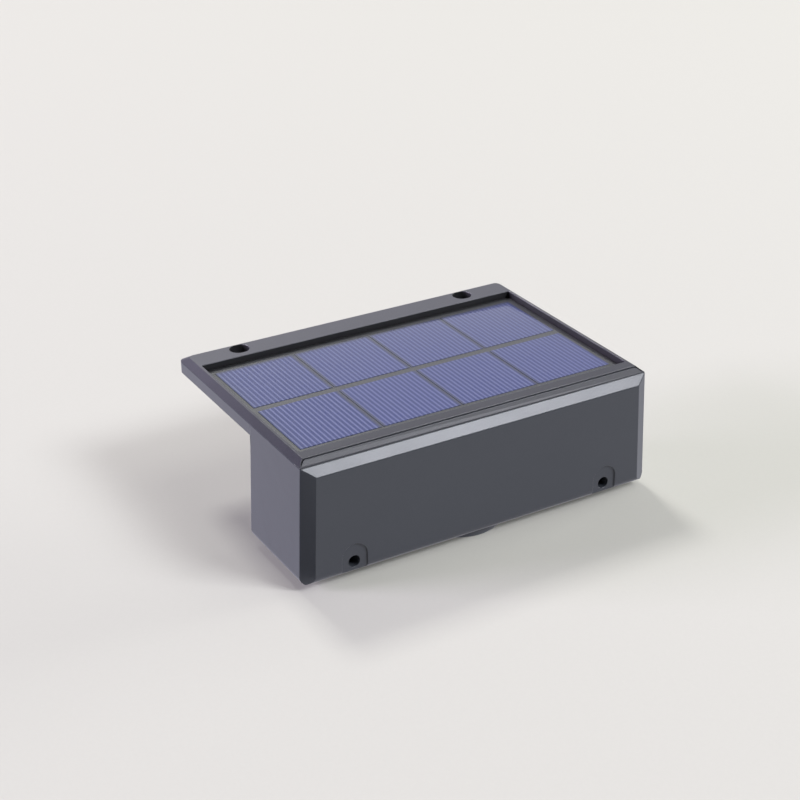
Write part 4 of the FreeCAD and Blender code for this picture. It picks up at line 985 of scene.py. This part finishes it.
def batteryCentre():
    # A point on the cell's axis, its radius, and the level where the nub starts.
    low, high = nodeBox("battery")
    centre = np.array([0.0, (low[1] + high[1]) / 2, (low[2] + high[2]) / 2])
    return centre, (high[1] - low[1]) / 2, high[0] - battery["nubHigh"]


def batterySleeve():
    # Can with its crimp groove and film lapped over both ends: a profile (radius, along) turned about X.
    low = nodeBox("battery")[0]
    centre, radius, end = batteryCentre()
    crimp, half, cap = end - battery["crimpIn"], battery["crimpHalf"], battery["capRadius"]
    corners = [(0, low[0] + 0.15 * mm), (radius - 1.2 * mm, low[0]), (radius, low[0]), (radius, crimp - half),
               (radius - battery["crimpDeep"], crimp), (radius, crimp + half), (radius, end), (cap, end),
               (cap - 0.2 * mm, end - battery["capSunk"]), (0, end - battery["capSunk"])]
    return spun(softOutline(corners, battery["soft"], 5), centre, 96, "x")


def batteryCap():
    # Plus end: a flat washer that rises to the nub.
    centre, _, end = batteryCentre()
    top = nodeBox("battery")[1][0]
    out, nub = battery["capRadius"] - 0.4 * mm, battery["nubRadius"]
    corners = [(0, end - 0.35 * mm), (out, end - 0.35 * mm), (out, end - 0.1 * mm),
               (nub + 0.4 * mm, end - 0.1 * mm), (nub, top), (0, top)]
    return spun(softOutline(corners, battery["capSoft"], 5), centre, 72, "x")


springLook = {"turns": 4.0, "wire": 0.45 * mm, "steps": 360}


def springCoil():
    # Wire along a helix: (along, R cos a, R sin a).
    low, high = nodeBox("battery_spring")
    centre = (low + high) / 2
    wire = springLook["wire"]
    reach = (high[1] - low[1]) / 2 - wire
    share = np.linspace(0, 1, springLook["steps"])
    angle = share * springLook["turns"] * 2 * math.pi
    along = low[0] + wire + (high[0] - low[0] - 2 * wire) * share
    path = np.stack([along, centre[1] + reach * np.cos(angle), centre[2] + reach * np.sin(angle)], axis=1)
    return tube(path, wire, 12, (1, 0, 0))


plateLook = {"edge": 0.12 * mm}


def contactPlate(name, node):
    # Thin plate with soft edges, as tall and wide as its node.
    plate = softBox(*nodeBox(node), plateLook["edge"])
    addPiece(name, [plate], "housing", finishes["steel"], [node])


addPiece("batteryCell", [batterySleeve()], "housing", finishes["sleeve"], ["battery"])
addPiece("batteryCap", [batteryCap()], "housing", finishes["steel"])
shellFromNode("batteryCradle", "battery_holder", battery["cradleEdge"], "housing",
              finishes["inner"])
addPiece("cellSpring", [springCoil()], "housing", finishes["steel"], ["battery_spring"], 60)
contactPlate("plusPlate", "battery_plus_contact")
contactPlate("minusPlate", "battery_minus_contact")
print("battery ready")

# The lamp board

ledLook = {"long": 3.5 * mm, "deep": 2.8 * mm, "body": 0.18 * mm, "faceRadius": 1.15 * mm,
           "faceRise": 0.08 * mm, "faceTop": 0.12 * mm, "boardEdge": 0.10 * mm}


def ledPieces():
    # White packages at the corners of the node's box, each a soft box; the yellow face under each is a
    # low dome, down = d (1 - (r/R)^2).
    low, high = nodeBox("leds")
    long, deep, rise = ledLook["long"] / 2, ledLook["deep"] / 2, ledLook["faceRise"]
    bodies, faces = [], []
    for x in (low[0] + long, high[0] - long):
        for y in (low[1] + deep, high[1] - deep):
            corner = (x - long, y - deep, low[2] + rise)
            bodies.append(softBox(corner, (x + long, y + deep, high[2]), ledLook["body"]))
            reach = np.linspace(0, ledLook["faceRadius"], 12)
            dome = np.stack([reach, low[2] + rise * (reach / reach[-1]) ** 2], axis=1)
            top = low[2] + ledLook["faceTop"]
            base = np.array([(ledLook["faceRadius"], top), (0.0, top)])
            faces.append(spun(np.concatenate([dome, base]), (x, y, 0), 40))
    return bodies, faces


ledBodies, ledFaces = ledPieces()
addPiece("ledBodies", ledBodies, "housing", finishes["lampChip"], ["leds"])
addPiece("ledFaces", ledFaces, "housing", finishes["phosphor"])
shellFromNode("lampBoard", "led_board", ledLook["boardEdge"], "housing", finishes["lampBoard"])
print("lamp board ready")

# The control board and what stands on it

boardLook = {"edge": 0.10 * mm}
chipLook = {"legs": 4, "legWide": 0.4 * mm, "footDeep": 0.2 * mm, "footLong": 0.7 * mm,
            "kneeDeep": 0.9 * mm, "kneeFrom": 0.5 * mm, "kneeTo": 1.2 * mm, "legSoft": 0.06 * mm,
            "bodyIn": 1.0 * mm, "soft": 0.18 * mm}


def chipWithLegs():
    # Body, and bent legs on each end: each leg is a soft box foot with a soft box knee.
    low, high = nodeBox("charge_chip")
    legs = []
    for way in (-1, 1):
        end = high[0] if way > 0 else low[0]
        for number in range(chipLook["legs"]):
            z = low[2] + (high[2] - low[2]) * (number + 0.5) / chipLook["legs"]
            for near, far, deep in ((0.0, chipLook["footLong"], chipLook["footDeep"]),
                                    (chipLook["kneeFrom"], chipLook["kneeTo"], chipLook["kneeDeep"])):
                middle = (end - way * (near + far) / 2, high[1] - deep / 2, z)
                legs.append(softBlock(middle, (far - near, deep, chipLook["legWide"]), chipLook["legSoft"]))
    body = softBox((low[0] + chipLook["bodyIn"], low[1], low[2]),
                   (high[0] - chipLook["bodyIn"], high[1] - 0.1 * mm, high[2]), chipLook["soft"])
    return body, legs


drumLook = {"flange": 0.7 * mm, "core": 0.55, "soft": 0.22 * mm, "wire": 0.4 * mm, "wireHigh": 0.16 * mm}


def drumWinding():
    # Ferrite drum with two flanges, and copper turns between them: radius = R - a (1 - |sin(pi along /
    # wire)|).
    low, high = nodeBox("inductor")
    centre = np.array([(low[0] + high[0]) / 2, 0.0, (low[2] + high[2]) / 2])
    radius = (high[0] - low[0]) / 2
    core = radius * drumLook["core"]
    first, last = low[1] + drumLook["flange"], high[1] - drumLook["flange"]
    corners = [(0, low[1]), (radius, low[1]), (radius, first), (core, first), (core, last), (radius, last),
               (radius, high[1]), (0, high[1])]
    drum = spun(softOutline(corners, drumLook["soft"], 5), centre, 64, "y")
    along = np.linspace(first, last, 120)
    turns = np.abs(np.sin((along - first) * math.pi / drumLook["wire"]))
    turns = radius * 0.90 - drumLook["wireHigh"] * (1 - turns)
    inner = [radius * 0.5]
    wire = np.stack([np.concatenate([inner, turns, inner]), np.concatenate([along[:1], along, along[-1:]])],
                    axis=1)
    return drum, spun(wire, centre, 64, "y")


canLook = {"groove": 1.2 * mm, "grooveHalf": 0.4 * mm, "grooveDeep": 0.3 * mm, "soft": 0.25 * mm}


def capacitorCan():
    # Can with a pressed groove near the board and a slightly sunk end.
    low, high = nodeBox("capacitor")
    centre = np.array([(low[0] + high[0]) / 2, 0.0, (low[2] + high[2]) / 2])
    radius = (high[0] - low[0]) / 2
    groove, half = high[1] - canLook["groove"], canLook["grooveHalf"]
    corners = [(0, low[1] + 0.12 * mm), (radius * 0.8, low[1] + 0.10 * mm), (radius * 0.9, low[1]),
               (radius, low[1] + 0.1 * mm), (radius, groove - half), (radius - canLook["grooveDeep"], groove),
               (radius, groove + half), (radius, high[1]), (0, high[1])]
    return spun(softOutline(corners, canLook["soft"], 5), centre, 72, "y")


socketLook = {"long": 6 * mm, "tall": 5 * mm, "thirdX": 14 * mm, "wideLong": 13 * mm, "lip": 0.5 * mm,
              "lipHigh": 0.4 * mm, "lipDeep": 0.8 * mm, "soft": 0.25 * mm, "pinX": 1.25 * mm, "pin": 0.6 * mm,
              "pinSoft": 0.08 * mm}


def socketShells():
    # Each socket: a soft nylon box, a collar round its mouth and two metal pins in it.
    low, high = nodeBox("lead_sockets")
    long, tall, lip = socketLook["long"], socketLook["tall"], socketLook["lip"]
    boxes = [(high[0] - long / 2, high[2], long, tall), (low[0] + long / 2, high[2], long, tall),
             (socketLook["thirdX"], high[2], long, tall),
             (0.0, low[2] + tall / 2, socketLook["wideLong"], tall / 2)]
    shells, pins = [], []
    for x, top, wide, deep in boxes:
        shells.append(softBox((x - wide / 2, low[1] + lip, top - deep), (x + wide / 2, high[1], top),
                              socketLook["soft"]))
        collar = wide / 2 - lip
        shells.append(softBox((x - collar, low[1], top - deep + socketLook["lipHigh"]),
                              (x + collar, low[1] + socketLook["lipDeep"], top - socketLook["lipHigh"]),
                              0.2 * mm))
        for side in (-1, 1):
            middle = (x + side * socketLook["pinX"], high[1] - 0.25 * mm, top - deep - 0.025 * mm)
            pins.append(softBlock(middle, (socketLook["pin"], 0.5 * mm, 0.45 * mm), socketLook["pinSoft"]))
    return shells, pins


resistorLook = {"spans": ((-30 * mm, -21 * mm), (24 * mm, 33 * mm)), "every": 2.6 * mm,
                "rows": (-24 * mm, -20.5 * mm), "wide": 1.0 * mm, "high": 0.45 * mm, "long": 1.6 * mm,
                "endWide": 1.1 * mm, "endHigh": 0.5 * mm, "endLong": 0.5 * mm, "endOut": 0.75 * mm,
                "soft": 0.08 * mm}


def smallParts():
    # Rows of tiny resistors in two groups on the free ends of the board, all soft boxes with tinned ends.
    front = nodeBox("control_board")[0][1]
    look = resistorLook
    columns = np.concatenate([np.arange(*span, look["every"]) for span in look["spans"]])
    bodies, ends = [], []
    for x in columns:
        for z in look["rows"]:
            bodies.append(softBlock((x, front - look["high"] / 2, z),
                                    (look["wide"], look["high"], look["long"]), look["soft"], 3))
            for way in (-1, 1):
                ends.append(softBlock((x, front - look["endHigh"] / 2, z + way * look["endOut"]),
                                      (look["endWide"], look["endHigh"], look["endLong"]), look["soft"], 3))
    return bodies, ends


switchLook = {"baseUp": 0.8 * mm, "frameIn": 0.5 * mm, "frameTop": 1.2 * mm, "plunger": 1.5 * mm,
              "plungerTop": 0.9 * mm, "soft": 0.2 * mm, "frameSoft": 0.15 * mm}


def switchPieces():
    # Push switch: black base, steel frame round it and a round plunger below.
    low, high = nodeBox("switch_body")
    into = switchLook["frameIn"]
    base = softBox((low[0], low[1], low[2] + switchLook["baseUp"]), high, switchLook["soft"])
    frame = softBox(low + into, (high[0] - into, high[1] - into, low[2] + switchLook["frameTop"]),
                    switchLook["frameSoft"])
    middle = (low + high) / 2
    radius, top = switchLook["plunger"], low[2] + switchLook["plungerTop"]
    outline = softOutline([(0, low[2]), (radius, low[2]), (radius, top), (0, top)], switchLook["soft"], 5)
    return base, frame, spun(outline, (middle[0], middle[1], 0), 40)


controlBoard = softBox(*nodeBox("control_board"), boardLook["edge"])
chipBody, chipLegs = chipWithLegs()
drum, winding = drumWinding()
socketBodies, socketPins = socketShells()
tinyBodies, tinyEnds = smallParts()
switchBase, switchFrame, switchPlunger = switchPieces()
addPiece("controlBoard", [controlBoard], "housing", finishes["greenBoard"], ["control_board"])
addPiece("chargeChip", [chipBody], "housing", finishes["chip"], ["charge_chip"])
addPiece("chipLegs", chipLegs, "housing", finishes["steel"])
addPiece("inductorDrum", [drum], "housing", finishes["ferrite"], ["inductor"])
addPiece("inductorWire", [winding], "housing", finishes["copper"], (), 60)
addPiece("capacitorCan", [capacitorCan()], "housing", finishes["can"], ["capacitor"])
addPiece("leadSockets", socketBodies, "housing", finishes["nylon"], ["lead_sockets"])
addPiece("socketPins", socketPins, "housing", finishes["steel"])
addPiece("resistors", tinyBodies, "housing", finishes["chip"])
addPiece("resistorEnds", tinyEnds, "housing", finishes["steel"])
addPiece("switchBase", [switchBase, switchPlunger], "housing", finishes["inner"],
         ["switch_body"])
addPiece("switchFrame", [switchFrame], "housing", finishes["steel"])
print("control board ready")

# The panel's board and the seal, and the nodes whose own shape is right, which only get a finish

seal = {"edge": 0.18 * mm}
panelBoard = softBox(*nodeBox("panel_board"), panel["boardEdge"])
addPiece("panelBoard", [panelBoard], "housing", finishes["margin"], ["panel_board"])
shellFromNode("housingSeal", "housing_seal", seal["edge"], "housing", finishes["seal"])
kept = {"solar_cells": finishes["cells"], "panel_adhesive": finishes["foam"]}
for name in ("panel_leads", "battery_leads", "led_leads", "switch_leads"):
    low, high = plainBox(name)
    kept[name] = leadFinish(name + "Skin", (low[0] + high[0]) / 2)
for name, finish in kept.items():
    mesh = nodes[name].data
    for place in range(len(mesh.materials)):
        mesh.materials[place] = finish
print("kept nodes finished:", len(kept))

# Floor, lights and camera

stage = {"floorHalf": 6.0, "floorGap": 0.02 * mm, "lampsAway": 3.5, "world": 0.06,
         "worldColor": (0.93, 0.95, 1.0, 1)}
lamps = {
    "keyLight": {"from": (0.463, -0.575, 0.675), "size": 1.2, "power": 84.0, "color": (0.97, 0.99, 1.07)},
    "sideLight": {"from": (0.95, 0.00, 0.12), "size": 1.6, "power": 105.0, "color": (1.0, 1.0, 1.0)},
    "leftLight": {"from": (-0.88, 0.40, 0.26), "size": 1.3, "power": 125.0, "color": (1.0, 0.89, 1.20)},
    "rearLight": {"from": (0.46, 0.78, 0.40), "size": 3.6, "power": 20.0, "color": (0.97, 0.98, 1.0)},
    "topLight": {"from": (0.42, -0.10, 0.90), "size": 2.0, "power": 22.0, "color": (1.0, 1.0, 1.0)},
    "backLight": {"from": (0.05, 0.65, 0.75), "size": 0.7, "power": 58.0, "color": (1.0, 1.0, 1.0)},
}


def flatSheet(name, corners, level, finish):
    # A level square of the stage from its four corners.
    mesh = bpy.data.meshes.new(name)
    mesh.from_pydata([(x, y, level) for x, y in corners], [], [(0, 1, 2, 3)])
    mesh.materials.append(finish)
    sheet = bpy.data.objects.new(name, mesh)
    scene.collection.objects.link(sheet)
    return sheet


def floorSheet():
    # A flat square a hair under the lowest point of the part.
    half = stage["floorHalf"]
    corners = [(-half, -half), (half, -half), (half, half), (-half, half)]
    floor = flatSheet("floorSheet", corners, cadBox[0][2] - stage["floorGap"], floorFinish())


def areaLight(name, look):
    # A square lamp that looks at the part from a direction.
    data = bpy.data.lights.new(name, "AREA")
    data.shape = "SQUARE"
    data.size = look["size"]
    data.energy = look["power"]
    data.color = look["color"]
    lampObject = bpy.data.objects.new(name, data)
    way = Vector(look["from"]).normalized()
    lampObject.location = way * stage["lampsAway"]
    lampObject.rotation_euler = way.to_track_quat("Z", "Y").to_euler()
    lampObject.visible_camera = False
    scene.collection.objects.link(lampObject)


flag = {"near": 8 * mm, "far": 230 * mm, "left": -110 * mm, "right": 10 * mm, "lift": 0.1 * mm, "in": 3 * mm,
        "out": (-0.564, -0.826), "side": (0.826, -0.564), "dark": (0.004, 0.004, 0.004),
        "light": (0.008, 0.008, 0.008), "weave": 1.5 * mm}


def darkFlag():
    # A black card on the floor off the left front corner, seen only in reflections.
    corner = np.array([cadBox[0][0] + flag["in"], cadBox[0][1]])
    out, side = np.array(flag["out"]), np.array(flag["side"])
    spots = [("near", "left"), ("near", "right"), ("far", "right"), ("far", "left")]
    corners = [corner + out * flag[along] + side * flag[across] for along, across in spots]
    finish = Finish("flagCloth")
    cloth = finish.mix(finish.noise(flag["weave"], 3), flag["dark"], flag["light"])
    cloth = finish.done(finish.plain(cloth, 0.95, specular=0.0))
    card = flatSheet("darkFlag", corners, cadBox[0][2] + flag["lift"], cloth)
    card.visible_camera = False
    card.visible_diffuse = False
    card.visible_shadow = False


floorSheet()
darkFlag()
for name, look in lamps.items():
    areaLight(name, look)

world = bpy.data.worlds.new("softRoom")
world.use_nodes = True
background = world.node_tree.nodes["Background"].inputs
background["Color"].default_value = stage["worldColor"]
background["Strength"].default_value = stage["world"]
scene.world = world
scene.view_settings.view_transform = "Standard"

view = {"azimuth": -31.14, "elevation": 26.35, "distance": 0.6461, "lens": 75.4, "shiftX": -0.0330,
        "shiftY": -0.0139}


def photoCamera():
    # Camera on the photo's side: back = (sin a cos e, -cos a cos e, sin e) times its distance.
    turn, rise = math.radians(view["azimuth"]), math.radians(view["elevation"])
    back = Vector((math.sin(turn) * math.cos(rise), -math.cos(turn) * math.cos(rise), math.sin(rise)))
    data = bpy.data.cameras.new("photoCamera")
    data.lens = view["lens"]
    data.sensor_width = 36
    data.shift_x = view["shiftX"]
    data.shift_y = view["shiftY"]
    data.clip_start = 0.01
    camera = bpy.data.objects.new("photoCamera", data)
    camera.location = back * view["distance"]
    camera.rotation_euler = back.to_track_quat("Z", "Y").to_euler()
    scene.collection.objects.link(camera)
    scene.camera = camera


photoCamera()
print("stage, lights and camera ready")
